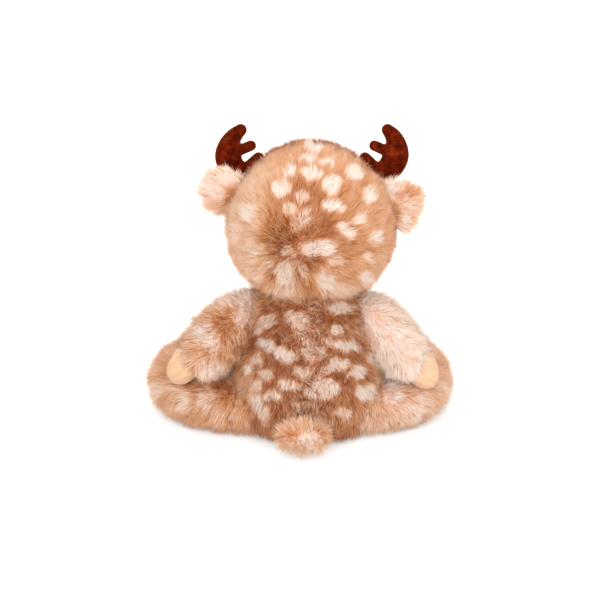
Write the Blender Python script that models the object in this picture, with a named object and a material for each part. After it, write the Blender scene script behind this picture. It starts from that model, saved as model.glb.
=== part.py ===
"""A seated plush deer in metres, +Z up. It faces -Y, and its own left side is +X.

The origin is on the floor under the neck, a little ahead of the middle of the body's flat seat.
Covers are sewn shells as thick as the fabric and its pile, and the stuffing inside each cover is
a solid of its own.
"""

from math import asin, cos, degrees, pi, radians, sin, sqrt

import bmesh
import bpy
from mathutils import Matrix, Vector

# Clearances and fabric thicknesses
GAP = 0.0003
LIMB_SEAT_GAP = 0.0005
LIMB_STUFFING_GAP = 0.0008
PILE_WALL = 0.010
SEAT_WALL = 0.004
SUEDE_WALL = 0.0018
VELOUR_WALL = 0.0022
PLUSH_WALL = 0.0045
FLOOR_CUT = 0.0005
OVERRUN = 0.020

# Body, swelling from the seat and tapering to the shoulders
BODY_WIDTH = 0.142
BODY_DEPTH = 0.126
BODY_HEIGHT = 0.156
BODY_SETBACK = 0.010
# Rows of height, width, depth and setback shares
BODY_SHARES = (
    (0.00, 0.70, 0.72, 1.0),
    (0.03, 0.86, 0.88, 1.0),
    (0.11, 0.97, 0.98, 1.0),
    (0.24, 1.00, 1.00, 1.0),
    (0.38, 0.99, 0.98, 0.9),
    (0.52, 0.94, 0.91, 0.6),
    (0.66, 0.84, 0.81, 0.3),
    (0.78, 0.74, 0.72, 0.0),
    (0.89, 0.60, 0.58, -0.2),
    (0.96, 0.40, 0.38, -0.3),
)

# Head, a round ball sunk into the top of the body
HEAD_WIDTH = 0.151
HEAD_HEIGHT = 0.146
HEAD_SINK = 0.041
HEAD_ASIDE = -0.003
HEAD_AHEAD = 0.010
NECK_HOLE_RADIUS = 0.027

# Neck plug, on which the head turns and nods
NECK_DROP = 0.020
NECK_BALL_RADIUS = 0.018
NECK_STEM_RADIUS = 0.013
NECK_LENGTH = 0.070
NOD_AHEAD = 10
NOD_BACK = 6
HEAD_TURN = 20

# Pellet bag in the seat
PELLET_WIDTH = 0.036
PELLET_DEPTH = 0.062
PELLET_HEIGHT = 0.020
# Rows of height and width shares
PELLET_SHARES = (
    (0.00, 0.80),
    (0.18, 0.95),
    (0.50, 1.00),
    (0.82, 0.95),
    (1.00, 0.80),
)

# Round end of each limb's cover, which starts at this turn from its pole
LIMB_ROOT_TURN = 55
# Width of a limb's stuffing where it passes through the seam of the hoof
SEAM_SHARE = 0.80

# Arms, from the shoulder to the tip of the hoof
SHOULDER_INSET = 0.021
SHOULDER_DROP = 0.050
ARM_REACH = 0.072
HAND_SINK = 0.002
ARM_SETBACK = 0.026
ARM_RADIUS = 0.0255
ARM_REACH_SHARE = {"left": 1.0, "right": 0.86}
# Rows of reach, setback, drop and radius shares down to the seam of the hoof
ARM_SHARES = (
    (0.00, 0.00, 0.00, 0.66),
    (0.11, 0.16, 0.08, 0.90),
    (0.31, 0.40, 0.27, 1.00),
    (0.50, 0.70, 0.53, 1.00),
    (0.68, 0.92, 0.70, 0.86),
    (0.78, 0.98, 0.78, 0.66),
)
HAND_HOOF_RADIUS = 0.0135
HAND_HOOF_SHARES = (
    (0.78, 0.98, 0.78, 1.00),
    (0.87, 1.00, 0.86, 0.92),
    (0.94, 1.00, 0.93, 0.72),
)
# Turns of the raised arm for which its root is shaped, up to its limit
ARM_TURNS = (0, 15, 30)

# Legs, from the hip round the knee to the tip of the hoof
HIP_INSET = 0.021
HIP_SETBACK = 0.026
LEG_REACH = {"left": 0.064, "right": 0.052}
LEG_LENGTH_AHEAD = 0.148
LEG_WIDTH = {"left": 0.060, "right": 0.058}
LEG_HEIGHT = 0.054
# Rows of reach, ahead, width and height shares down to the seam of the hoof
LEG_SHARES = (
    (0.00, 0.00, 0.87, 0.97),
    (0.38, 0.05, 0.94, 0.97),
    (0.73, 0.15, 1.00, 1.00),
    (0.97, 0.32, 1.00, 1.00),
    (1.00, 0.51, 1.00, 1.00),
    (0.96, 0.70, 0.96, 0.97),
    (0.90, 0.84, 0.80, 0.84),
)
FOOT_HOOF_WIDTH = 0.034
FOOT_HOOF_HEIGHT = 0.036
FOOT_HOOF_SHARES = (
    (0.90, 0.84, 1.00, 1.00),
    (0.85, 0.91, 0.96, 0.96),
    (0.80, 0.96, 0.72, 0.74),
)
# Turns of the lowered leg for which its root is shaped, up to its limit
LEG_TURNS = (0, 15, 30)

# Tail, a flattened ball behind the seat
TAIL_WIDTH = 0.060
TAIL_HEIGHT = 0.041
TAIL_DEPTH = 0.044
TAIL_ASIDE = 0.004
TAIL_SINK = 0.004
TAIL_OPENING_RADIUS = 0.008
# Turns of the lifted tail for which its root is shaped, up to its limit
TAIL_TURNS = (0, 12, 24)

# Ears, leaves that fold on a root sunk into the head
EAR_LENGTH = 0.033
EAR_WIDTH = {"left": 0.046, "right": 0.054}
EAR_THICKNESS = 0.013
EAR_ROOT_RADIUS = 0.006
EAR_ROOT_SINK = 0.002
EAR_BEHIND = 0.006
EAR_HEIGHT_TURN = {"left": 23, "right": 13}
EAR_TILT = {"left": 18, "right": 28}
# Turns of the folded ear for which its root is shaped, backwards and up to its limits
EAR_TURNS = (-6, 0, 20)
EAR_ROOT_LENGTH_SHARE = 0.80
EAR_ROOT_WIDTH_SHARE = 0.50
EAR_ROOT_THICKNESS_SHARE = 0.55
EAR_TIP_WIDTH_SHARE = 0.04
EAR_TIP_THICKNESS_SHARE = 0.10
# Rows of length, width and thickness shares
EAR_SHARES = (
    (-0.08, 0.84, 0.84),
    (0.08, 0.94, 0.80),
    (0.28, 1.00, 0.94),
    (0.50, 0.95, 1.00),
    (0.72, 0.80, 0.84),
    (0.90, 0.50, 0.52),
)
LINING_WIDTH = 0.022
LINING_LENGTH = 0.018
LINING_THICKNESS = 0.004
LINING_PLACE_SHARE = 0.52

# Antlers, flat padded beams with two side tines, in the plane of the head's front
ANTLER_INSET = 0.018
ANTLER_AHEAD = 0.010
ANTLER_ROOT_RISE = 0.030
ANTLER_HEIGHT = 0.051
ANTLER_SWELL = 0.0165
ANTLER_RADIUS = 0.0118
ANTLER_THICKNESS = 0.013
ANTLER_TINE_RADIUS = 0.0052
# Rows of swell, height and radius shares along the beam
ANTLER_BEAM_SHARES = (
    (0.00, 0.00, 0.72),
    (0.55, 0.24, 0.92),
    (0.90, 0.42, 1.00),
    (1.00, 0.58, 0.96),
    (0.90, 0.75, 0.78),
    (0.61, 0.90, 0.62),
    (0.28, 1.00, 0.47),
)
# Rows of swell and height shares, root then tip
ANTLER_TINE_SHARES = (
    ((0.62, 0.60), (-0.25, 0.72)),
    ((0.21, 0.25), (-0.66, 0.50)),
)
# How far each antler leans out at its top, as a share of its swell
ANTLER_LEAN_SHARE = {"left": 0, "right": 0.34}

# Face
MUZZLE_WIDTH = 0.060
MUZZLE_DEPTH = 0.056
MUZZLE_HEIGHT = 0.046
MUZZLE_SINK = 0.0075
MUZZLE_DROP = 0.018
NOSE_WIDTH = 0.020
NOSE_HEIGHT = 0.014
NOSE_DEPTH = 0.010
NOSE_RISE_TURN = 28
NOSE_BACK_SHARE = 0.20
NOSE_BACK_WIDTH_SHARE = 0.86
EYE_RADIUS = 0.0068
EYE_SINK = 0.001
EYE_SIDE_TURN = 26
EYE_RISE_TURN = 5
SHANK_RADIUS = 0.0016
WASHER_RADIUS = 0.0065
WASHER_THICKNESS = 0.0014
SHANK_BEYOND = 0.0030

# Facets
BODY_SIDES = 20
HEAD_SIDES = 20
HEAD_ROWS = 10
CORE_ROWS = 8
MUZZLE_SIDES = 16
LIMB_SIDES = 12
SMALL_SIDES = 8
CAP_STEPS = 3
SHARP_TURN = 40

UP = Vector((0.0, 0.0, 1.0))
ALONG_X = Vector((1.0, 0.0, 0.0))
ALONG_Y = Vector((0.0, 1.0, 0.0))
SIDES = {"left": 1, "right": -1}

# Colour, roughness and metallic value of each material
FINISHES = {
    "spotted_fur": ((0.62, 0.36, 0.20), 0.90, 0.0),
    "short_plush": ((0.90, 0.78, 0.66), 0.85, 0.0),
    "ear_lining": ((0.86, 0.62, 0.52), 0.85, 0.0),
    "velour": ((0.19, 0.05, 0.02), 0.75, 0.0),
    "suede": ((0.87, 0.68, 0.42), 0.80, 0.0),
    "fibre": ((0.93, 0.93, 0.91), 0.95, 0.0),
    "pellet_cloth": ((0.85, 0.84, 0.80), 0.90, 0.0),
    "dark_bead": ((0.015, 0.010, 0.008), 0.12, 0.0),
    "nose_plastic": ((0.05, 0.022, 0.015), 0.35, 0.0),
    "washer_plastic": ((0.80, 0.80, 0.78), 0.50, 0.0),
}


# Measures that follow from the sizes above
def head_centre():
    return Vector((HEAD_ASIDE, -HEAD_AHEAD, BODY_HEIGHT + HEAD_HEIGHT / 2 - HEAD_SINK))


def neck_centre():
    return head_centre() - UP * NECK_DROP


def shoulder(side):
    out = BODY_WIDTH / 2 - SHOULDER_INSET
    return Vector((SIDES[side] * out, 0.0, BODY_HEIGHT - SHOULDER_DROP))


def hip(side):
    out = BODY_WIDTH / 2 - HIP_INSET
    return Vector((SIDES[side] * out, HIP_SETBACK, LEG_HEIGHT / 2 - FLOOR_CUT))


def tail_centre():
    back = BODY_SETBACK + BODY_DEPTH / 2
    return Vector((TAIL_ASIDE, back + TAIL_DEPTH / 2 - TAIL_SINK, TAIL_HEIGHT / 2 - FLOOR_CUT))


def tail_hinge():
    return Vector((TAIL_ASIDE, BODY_SETBACK + BODY_DEPTH / 2, TAIL_HEIGHT / 2))


def clear_radius(radius, sides):
    """The radius at which a faceted ball's flats clear a ball of the given radius."""
    return (radius + GAP) / cos(pi / sides) ** 2


# Mesh building
def finish_for(name):
    material = bpy.data.materials.get(name)
    if material:
        return material
    colour, roughness, metallic = FINISHES[name]
    material = bpy.data.materials.new(name)
    material.use_nodes = True
    shader = material.node_tree.nodes["Principled BSDF"]
    shader.inputs["Base Color"].default_value = (*colour, 1.0)
    shader.inputs["Roughness"].default_value = roughness
    shader.inputs["Metallic"].default_value = metallic
    material.diffuse_color = (*colour, 1.0)
    return material


def object_from(name, bm, finish, pivot=None, cutter=False):
    """An object whose origin is at its pivot."""
    bmesh.ops.recalc_face_normals(bm, faces=bm.faces)
    origin = Vector(pivot) if pivot is not None else Vector()
    bm.transform(Matrix.Translation(-origin))
    mesh = bpy.data.meshes.new(name)
    bm.to_mesh(mesh)
    bm.free()
    mesh.shade_smooth()
    mesh.set_sharp_from_angle(angle=radians(SHARP_TURN))
    made = bpy.data.objects.new(name, mesh)
    made.location = origin
    bpy.context.scene.collection.objects.link(made)
    if cutter:
        made.hide_render = True
        made.display_type = "WIRE"
    else:
        mesh.materials.append(finish_for(finish))
    return made


def cut_by(piece, *cutters):
    for cutter in cutters:
        modifier = piece.modifiers.new("cut by " + cutter.name, "BOOLEAN")
        modifier.operation = "DIFFERENCE"
        modifier.object = cutter


def joined_with(piece, *others):
    for other in others:
        modifier = piece.modifiers.new("joined with " + other.name, "BOOLEAN")
        modifier.operation = "UNION"
        modifier.object = other


def bridge(bm, rings, looped=False):
    """Joins rings of corners in turn. A looped list closes on itself.

    A ring of one corner is a pole, and the next ring may have half as many corners.
    """
    pairs = list(zip(rings, rings[1:]))
    if looped:
        pairs.append((rings[-1], rings[0]))
    for first, second in pairs:
        count = max(len(first), len(second))
        if count == 1:
            continue
        for i in range(count):
            j = (i + 1) % count
            corners = [first[i * len(first) // count], first[j * len(first) // count]]
            corners += [second[j * len(second) // count], second[i * len(second) // count]]
            bm.faces.new(dict.fromkeys(corners))


def ring_of(bm, centre, across, upward, half_width, half_height, sides):
    """A ring of corners on an ellipse, or one pole where it has no width."""
    if half_width <= 0:
        return [bm.verts.new(centre)]
    turns = [2 * pi * i / sides for i in range(sides)]
    return [
        bm.verts.new(centre + across * half_width * cos(t) + upward * half_height * sin(t))
        for t in turns
    ]


def tube_rings(bm, rows, upright, sides, root="flat", tip="flat", root_turn=0, seam=None):
    """Rings along rows of x, y, z, half width and half height, with round or flat ends.

    A round root starts root_turn degrees up from its pole, which leaves a flat end there.
    The seam gives the number of a row and the direction that its ring faces.
    """
    centres = [Vector(row[:3]) for row in rows]
    rings = []
    last = len(rows) - 1
    for i, row in enumerate(rows):
        along = (centres[min(i + 1, last)] - centres[max(i - 1, 0)]).normalized()
        if seam and i == seam[0] % len(rows):
            along = seam[1]
        across = along.cross(upright).normalized()
        upward = across.cross(along)
        caps = []
        if i == 0 and root == "round":
            caps = [(-cos(radians(a)), sin(radians(a))) for a in cap_turns(root_turn)]
        if i == last and tip == "round":
            caps = [(cos(radians(a)), sin(radians(a))) for a in cap_turns(0)]
        depth = min(row[3], row[4])
        ends = []
        for shift, share in caps:
            share = 0 if share < 1e-6 else share
            centre = centres[i] + along * depth * shift
            ends.append(ring_of(bm, centre, across, upward, row[3] * share, row[4] * share, sides))
        own = ring_of(bm, centres[i], across, upward, row[3], row[4], sides)
        rings += ends + [own] if i == 0 else [own] + ends[::-1]
    return rings


def cap_turns(first):
    """Turns from the pole of a round end towards its widest ring, which isn't among them."""
    return [first + (90 - first) * step / CAP_STEPS for step in range(CAP_STEPS)]


def close_ends(bm, rings):
    for ring in (rings[0], rings[-1]):
        if len(ring) > 1:
            bm.faces.new(ring)


def tube(name, rows, upright, sides, finish, root="flat", tip="flat", seam=None, **more):
    bm = bmesh.new()
    rings = tube_rings(bm, rows, upright, sides, root, tip, seam=seam)
    bridge(bm, rings)
    close_ends(bm, rings)
    if more.pop("on_floor", False):
        cut_flat(bm)
    return object_from(name, bm, finish, **more)


def thinner(rows, wall):
    return [(*row[:3], row[3] - wall, row[4] - wall) for row in rows]


def limb_sleeve(name, rows, wall, seam, finish, **more):
    """A limb's cover, open at its round root and at the seam with its hoof, which is its last row."""
    bm = bmesh.new()
    ends = (-1, seam)
    outer = tube_rings(bm, rows, UP, LIMB_SIDES, "round", "flat", LIMB_ROOT_TURN, ends)
    inner_rows = thinner(rows, wall)
    # The inner wall starts on the plane of the outer one's flat end
    start = Vector(rows[0][:3])
    along = (Vector(rows[1][:3]) - start).normalized()
    depth = min(rows[0][3], rows[0][4]) * cos(radians(LIMB_ROOT_TURN))
    share = sin(radians(LIMB_ROOT_TURN))
    widths = (rows[0][3] * share - wall, rows[0][4] * share - wall)
    inner_rows.insert(0, (*(start - along * depth), *widths))
    inner = tube_rings(bm, inner_rows, UP, LIMB_SIDES // 2, seam=ends)
    bridge(bm, outer + inner[::-1], looped=True)
    if more.pop("on_floor", False):
        cut_flat(bm)
    return object_from(name, bm, finish, **more)


def hoof_cap(name, rows, wall, seam, finish, **more):
    """A cap open at its seam, which is its first row."""
    bm = bmesh.new()
    ends = (0, seam)
    outer = tube_rings(bm, rows, UP, LIMB_SIDES, tip="round", seam=ends)
    inner = tube_rings(bm, thinner(rows, wall), UP, LIMB_SIDES // 2, tip="round", seam=ends)
    bridge(bm, outer + inner[::-1], looped=True)
    return object_from(name, bm, finish, **more)


def cut_flat(bm):
    """Takes off what lies below the floor and closes the cut."""
    parts = bm.verts[:] + bm.edges[:] + bm.faces[:]
    cut = bmesh.ops.bisect_plane(bm, geom=parts, plane_co=Vector(), plane_no=-UP, clear_outer=True)
    rim = [part for part in cut["geom_cut"] if isinstance(part, bmesh.types.BMEdge)]
    if rim:
        bmesh.ops.edgeloop_fill(bm, edges=rim)


def turned(name, profile, sides, finish, matrix=None, looped=False, coarse_profile=(), **more):
    """A shape turned about +Z from rows of radius and height, then moved by the matrix.

    The rows of the coarse profile follow the others and have half as many sides.
    """
    bm = bmesh.new()
    rings = [ring_of(bm, UP * z, ALONG_X, ALONG_Y, r, r, sides) for r, z in profile]
    rings += [ring_of(bm, UP * z, ALONG_X, ALONG_Y, r, r, sides // 2) for r, z in coarse_profile]
    bridge(bm, rings, looped)
    if not looped:
        close_ends(bm, rings)
    if matrix is not None:
        bm.transform(matrix)
    if more.pop("on_floor", False):
        cut_flat(bm)
    return object_from(name, bm, finish, **more)


def ball_profile(half_width, half_height, rows, first=0, last=180):
    """Rows of a ball from first to last degrees, counted from its lowest point."""
    found = []
    for i in range(rows + 1):
        turn = radians(first + (last - first) * i / rows)
        radius = 0 if abs(sin(turn)) < 1e-6 else half_width * sin(turn)
        found.append((radius, -half_height * cos(turn)))
    return found


def facing(origin, direction):
    """A matrix that puts +Z along the direction at the origin."""
    turn = UP.rotation_difference(Vector(direction)).to_matrix().to_4x4()
    return Matrix.Translation(origin) @ turn


def turned_about(point, axis, angle):
    """A matrix for a turn about the axis through the point, in degrees."""
    turn = Matrix.Rotation(radians(angle), 4, axis)
    return Matrix.Translation(point) @ turn @ Matrix.Translation(-point)


# Body
def body_rings(bm, inset, seat_inset, sides):
    rings = []
    for height, width, depth, setback in BODY_SHARES:
        z = seat_inset + (BODY_HEIGHT - seat_inset - inset) * height
        centre = Vector((0.0, BODY_SETBACK * setback, z))
        half_width = BODY_WIDTH / 2 * width - inset
        half_depth = BODY_DEPTH / 2 * depth - inset
        rings.append(ring_of(bm, centre, ALONG_X, ALONG_Y, half_width, half_depth, sides))
    top = Vector((0.0, BODY_SETBACK * BODY_SHARES[-1][3], BODY_HEIGHT - inset))
    rings.append([bm.verts.new(top)])
    return rings


def body_form(name, inset, seat_inset, finish=None, sides=BODY_SIDES, **more):
    bm = bmesh.new()
    rings = body_rings(bm, inset, seat_inset, sides)
    bridge(bm, rings)
    close_ends(bm, rings)
    return object_from(name, bm, finish, **more)


def socket_ball(name, centre, radius):
    roomy = clear_radius(radius, LIMB_SIDES)
    profile = ball_profile(roomy, roomy, LIMB_SIDES // 2)
    return turned(name, profile, LIMB_SIDES, None, Matrix.Translation(centre), cutter=True)


def head_form(name, grow, matrix=None):
    half_width = (HEAD_WIDTH / 2 + grow) / cos(pi / HEAD_SIDES) ** 2
    half_height = (HEAD_HEIGHT / 2 + grow) / cos(pi / HEAD_SIDES) ** 2
    place = Matrix.Translation(head_centre())
    if matrix is not None:
        place = matrix @ place
    profile = ball_profile(half_width, half_height, HEAD_ROWS)
    return turned(name, profile, HEAD_SIDES, None, place, cutter=True)


def head_sweep():
    """The room that the head needs as it turns and nods."""
    rooms = []
    for turn in (-HEAD_TURN, 0, HEAD_TURN):
        for nod in (NOD_AHEAD, 0, -NOD_BACK):
            if turn and not nod:
                continue
            matrix = turned_about(neck_centre(), UP, turn) @ turned_about(neck_centre(), ALONG_X, nod)
            rooms.append(head_form("head_room_" + str(len(rooms)), GAP, matrix))
    return rooms


def make_body(sockets):
    sweep = head_sweep()
    head_travel = NECK_DROP * sin(radians(NOD_AHEAD))
    core_sweep = head_form("core_head_room", head_travel)
    stem_radius = (NECK_STEM_RADIUS + GAP) / cos(pi / LIMB_SIDES)
    stem = [
        (stem_radius, -NECK_LENGTH - GAP),
        (stem_radius, OVERRUN),
    ]
    place = Matrix.Translation(neck_centre())
    neck_hole = turned("neck_hole", stem, LIMB_SIDES, None, place, cutter=True)
    coarse = BODY_SIDES // 2
    hollow = body_form("body_hollow", PILE_WALL, SEAT_WALL, sides=coarse, cutter=True)
    skin = body_form("body_skin", 0, 0, "spotted_fur")
    cut_by(skin, hollow, *sockets, *sweep, neck_hole)
    stuffing = body_form("body_stuffing", PILE_WALL + GAP, SEAT_WALL + GAP, "fibre", coarse)
    floor = SEAT_WALL + GAP
    bag_rows = pellet_rows(floor, GAP)
    pocket = tube("pellet_pocket", bag_rows, ALONG_X, LIMB_SIDES, None, cutter=True)
    cut_by(stuffing, *sockets, core_sweep, neck_hole, pocket)
    tube("pellet_bag", pellet_rows(floor, 0), ALONG_X, LIMB_SIDES, "pellet_cloth")


def pellet_rows(floor, grow):
    """Rows from the floor of the cover up. The pocket for the bag, with grow, runs on downwards."""
    rows = []
    for height, size in PELLET_SHARES:
        z = floor + (PELLET_HEIGHT + grow) * height
        rows.append(
            (
                0.0,
                BODY_SETBACK,
                z,
                PELLET_DEPTH / 2 * size + grow,
                PELLET_WIDTH / 2 * size + grow,
            )
        )
    if grow:
        first = rows[0]
        rows.insert(0, (first[0], first[1], 0.0, first[3], first[4]))
    return rows


# Neck
def make_neck():
    """A stem in the body's neck opening with a ball in the head."""
    lean = NECK_STEM_RADIUS / NECK_BALL_RADIUS
    drop = NECK_BALL_RADIUS * sqrt(1 - lean**2)
    profile = [(NECK_STEM_RADIUS, -NECK_LENGTH), (NECK_STEM_RADIUS, -drop)]
    first = degrees(asin(lean))
    profile += ball_profile(NECK_BALL_RADIUS, NECK_BALL_RADIUS, CORE_ROWS // 2, first)[1:]
    turned(
        "neck_stuffing",
        profile,
        LIMB_SIDES,
        "fibre",
        Matrix.Translation(neck_centre()),
        pivot=neck_centre(),
    )


# Head
def head_outline(grow):
    half_width = HEAD_WIDTH / 2
    opening = degrees(asin(NECK_HOLE_RADIUS / half_width))
    return ball_profile(half_width + grow, HEAD_HEIGHT / 2 + grow, HEAD_ROWS, opening)


def make_head(cuts, stuffing_cuts):
    inner_width = HEAD_WIDTH / 2 - PILE_WALL
    inner_height = HEAD_HEIGHT / 2 - PILE_WALL
    inner_opening = degrees(asin(NECK_HOLE_RADIUS / inner_width))
    inner = ball_profile(inner_width, inner_height, CORE_ROWS, inner_opening)
    place = Matrix.Translation(head_centre())
    skin = turned(
        "head_skin",
        head_outline(0),
        HEAD_SIDES,
        "spotted_fur",
        place,
        looped=True,
        coarse_profile=inner[::-1],
        pivot=neck_centre(),
    )
    cut_by(skin, *cuts)

    core_width = inner_width - GAP
    core_height = inner_height - GAP
    core_opening = degrees(asin(NECK_HOLE_RADIUS / core_width))
    core = ball_profile(core_width, core_height, CORE_ROWS, core_opening)
    socket = clear_radius(NECK_BALL_RADIUS, LIMB_SIDES)
    lip = degrees(asin(NECK_STEM_RADIUS / NECK_BALL_RADIUS)) + NOD_AHEAD
    hollow = ball_profile(socket, socket, CORE_ROWS // 2, lip)
    hollow = [(radius, height - NECK_DROP) for radius, height in hollow]
    stuffing = turned(
        "head_stuffing",
        core + hollow[::-1],
        HEAD_SIDES // 2,
        "fibre",
        place,
        looped=True,
        pivot=neck_centre(),
    )
    cut_by(stuffing, *stuffing_cuts)


def on_head(side_turn, rise_turn, depth):
    """A point and direction on the head's front, turned aside and up, at a depth below its fur."""
    direction = Vector(
        (
            sin(radians(side_turn)) * cos(radians(rise_turn)),
            -cos(radians(side_turn)) * cos(radians(rise_turn)),
            sin(radians(rise_turn)),
        )
    )
    return head_centre() + direction * (HEAD_WIDTH / 2 - depth), direction


def washer_parts(name, place, top, pivot):
    """A locking washer below the top. Returns the outline of the room under it, and its pocket."""
    hole = (SHANK_RADIUS + GAP) / cos(pi / SMALL_SIDES)
    low = top - WASHER_THICKNESS
    outline = [(hole, low), (WASHER_RADIUS, low), (WASHER_RADIUS, top), (hole, top)]
    turned(name, outline, SMALL_SIDES, "washer_plastic", place, looped=True, pivot=pivot)
    roomy = WASHER_RADIUS + GAP
    room_low = low - SHANK_BEYOND - 2 * GAP
    room = [(roomy, room_low), (roomy, top + GAP), (hole, top + GAP)]
    pocket_rows = [(roomy, room_low), (roomy, OVERRUN)]
    pocket = turned(name + "_pocket", pocket_rows, SMALL_SIDES, None, place, cutter=True)
    return room, pocket


def make_eyes():
    """Bead eyes on shanks through the cover, each held by a washer inside. Returns what they cut."""
    skin_cuts = []
    core_cuts = []
    washer_top = -(PILE_WALL - EYE_SINK) - 2 * GAP
    shank_end = washer_top - WASHER_THICKNESS - SHANK_BEYOND
    for side, sign in SIDES.items():
        point, direction = on_head(sign * EYE_SIDE_TURN, EYE_RISE_TURN, EYE_SINK)
        place = facing(point, direction)
        bead = ball_profile(
            EYE_RADIUS, EYE_RADIUS, SMALL_SIDES // 2, degrees(asin(SHANK_RADIUS / EYE_RADIUS))
        )
        shank = [(SHANK_RADIUS, shank_end)]
        turned("eye_" + side, shank + bead, SMALL_SIDES, "dark_bead", place, pivot=point)
        under, pocket = washer_parts("eye_washer_" + side, place, washer_top, point)
        roomy = EYE_RADIUS + GAP
        rim = ball_profile(roomy, roomy, SMALL_SIDES // 2, degrees(asin(under[-1][0] / roomy)))
        skin_cuts.append(
            turned("eye_room_" + side, under + rim, SMALL_SIDES, None, place, cutter=True)
        )
        core_cuts.append(pocket)
    return skin_cuts, core_cuts


def stretched_ball(name, centre, half_sizes, sides, finish, matrix=None, **more):
    profile = ball_profile(1, 1, sides // 2)
    place = Matrix.Translation(centre)
    if matrix is not None:
        place = place @ matrix
    return turned(name, profile, sides, finish, place @ Matrix.Diagonal((*half_sizes, 1)), **more)


def make_muzzle():
    """A stuffed muzzle sewn on the front of the head, with its nose and the nose's washer."""
    ahead = HEAD_WIDTH / 2 - MUZZLE_SINK
    centre = head_centre() + Vector((0, -ahead, -MUZZLE_DROP))
    outer = (MUZZLE_WIDTH / 2, MUZZLE_DEPTH / 2, MUZZLE_HEIGHT / 2)
    inner = tuple(half - PLUSH_WALL for half in outer)
    core = tuple(half - PLUSH_WALL - GAP for half in outer)
    place = Matrix.Translation(head_centre())
    head_room = turned("muzzle_seat", head_outline(GAP), HEAD_SIDES, None, place, cutter=True)
    hollow = stretched_ball("muzzle_hollow", centre, inner, LIMB_SIDES, None, cutter=True)
    skin = stretched_ball("muzzle_skin", centre, outer, MUZZLE_SIDES, "short_plush", pivot=centre)
    stuffing = stretched_ball("muzzle_stuffing", centre, core, LIMB_SIDES, "fibre", pivot=centre)

    direction = Vector((0, -cos(radians(NOSE_RISE_TURN)), sin(radians(NOSE_RISE_TURN))))
    reach = 1 / sqrt((direction.y / outer[1]) ** 2 + (direction.z / outer[2]) ** 2)
    point = centre + direction * reach
    place = facing(point, direction)
    squash = Matrix.Diagonal((1, NOSE_HEIGHT / NOSE_WIDTH, 1, 1))
    washer_top = -PLUSH_WALL - 2 * GAP
    shank = [(SHANK_RADIUS, washer_top - WASHER_THICKNESS - SHANK_BEYOND)]
    turned("nose", shank + nose_face(0), SMALL_SIDES, "nose_plastic", place @ squash, pivot=point)
    under, pocket = washer_parts("nose_washer", place, washer_top, point)
    room = turned("nose_room", nose_face(GAP), SMALL_SIDES, None, place @ squash, cutter=True)
    shank_rows = under + [(under[-1][0], 0)]
    shank_room = turned("nose_shank_room", shank_rows, SMALL_SIDES, None, place, cutter=True)
    cut_by(skin, hollow, head_room, room, shank_room)
    cut_by(stuffing, head_room, pocket)


def nose_face(grow):
    """Half of a flattened ball, from the back of its shank's root to its front."""
    half = NOSE_WIDTH / 2 + grow
    low = -NOSE_DEPTH * NOSE_BACK_SHARE - grow
    front = ball_profile(half, NOSE_DEPTH * (1 - NOSE_BACK_SHARE) + grow, SMALL_SIDES // 2, 90)
    return [(SHANK_RADIUS + grow, low), (half * NOSE_BACK_WIDTH_SHARE, low)] + front


# Ears
def ear_frame(side):
    """The root's centre, the way out along the ear, and the root's axis."""
    sign = SIDES[side]
    rise = radians(EAR_HEIGHT_TURN[side])
    tilt = radians(EAR_TILT[side])
    reach = HEAD_WIDTH / 2 - EAR_ROOT_SINK
    root = head_centre() + Vector((sign * reach * cos(rise), EAR_BEHIND, reach * sin(rise)))
    outward = Vector((sign * cos(tilt), 0.0, sin(tilt)))
    axis = Vector((-sign * sin(tilt), 0.0, cos(tilt)))
    return root, outward, axis


def make_ear(side):
    """A leaf with a lining on its front. Returns the room that its root takes from the head."""
    root, outward, axis = ear_frame(side)
    half = EAR_WIDTH[side] / 2
    inner_end = root - outward * EAR_ROOT_RADIUS * EAR_ROOT_LENGTH_SHARE
    rows = [(*inner_end, half * EAR_ROOT_WIDTH_SHARE, EAR_ROOT_RADIUS * EAR_ROOT_THICKNESS_SHARE)]
    for length, width, thickness in EAR_SHARES:
        centre = root + outward * EAR_LENGTH * length
        rows.append((*centre, half * width, EAR_THICKNESS / 2 * thickness))
    tip = root + outward * EAR_LENGTH
    rows.append((*tip, half * EAR_TIP_WIDTH_SHARE, EAR_THICKNESS / 2 * EAR_TIP_THICKNESS_SHARE))
    ear = tube("ear_" + side, rows, ALONG_Y, LIMB_SIDES, "spotted_fur", pivot=root)

    front = root + outward * EAR_LENGTH * LINING_PLACE_SHARE - ALONG_Y * EAR_THICKNESS / 2
    turn = Matrix((outward, ALONG_Y, axis)).transposed().to_4x4()
    sizes = (LINING_LENGTH / 2, LINING_THICKNESS / 2, LINING_WIDTH / 2)
    roomy = tuple(size + GAP for size in sizes)
    stretched_ball("ear_lining_" + side, front, sizes, LIMB_SIDES, "ear_lining", turn, pivot=root)
    recess = stretched_ball("ear_recess_" + side, front, roomy, LIMB_SIDES, None, turn, cutter=True)
    cut_by(ear, recess)

    slot_half = half * EAR_SHARES[1][1] + GAP
    radii = {
        "ear_root_": EAR_ROOT_RADIUS + GAP / 2,
        "ear_slot_": (EAR_ROOT_RADIUS + GAP) / cos(pi / LIMB_SIDES),
    }
    place = facing(root, axis)
    root_room, slot = (
        turned(
            word + side, [(radius, -slot_half), (radius, slot_half)], LIMB_SIDES, None, place, cutter=True
        )
        for word, radius in radii.items()
    )
    for number, turn in enumerate(EAR_TURNS):
        matrix = turned_about(root, axis * SIDES[side], -turn)
        seat = head_form("ear_seat_" + str(number) + "_" + side, GAP, matrix)
        cut_by(seat, root_room)
        cut_by(ear, seat)
    return slot


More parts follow.
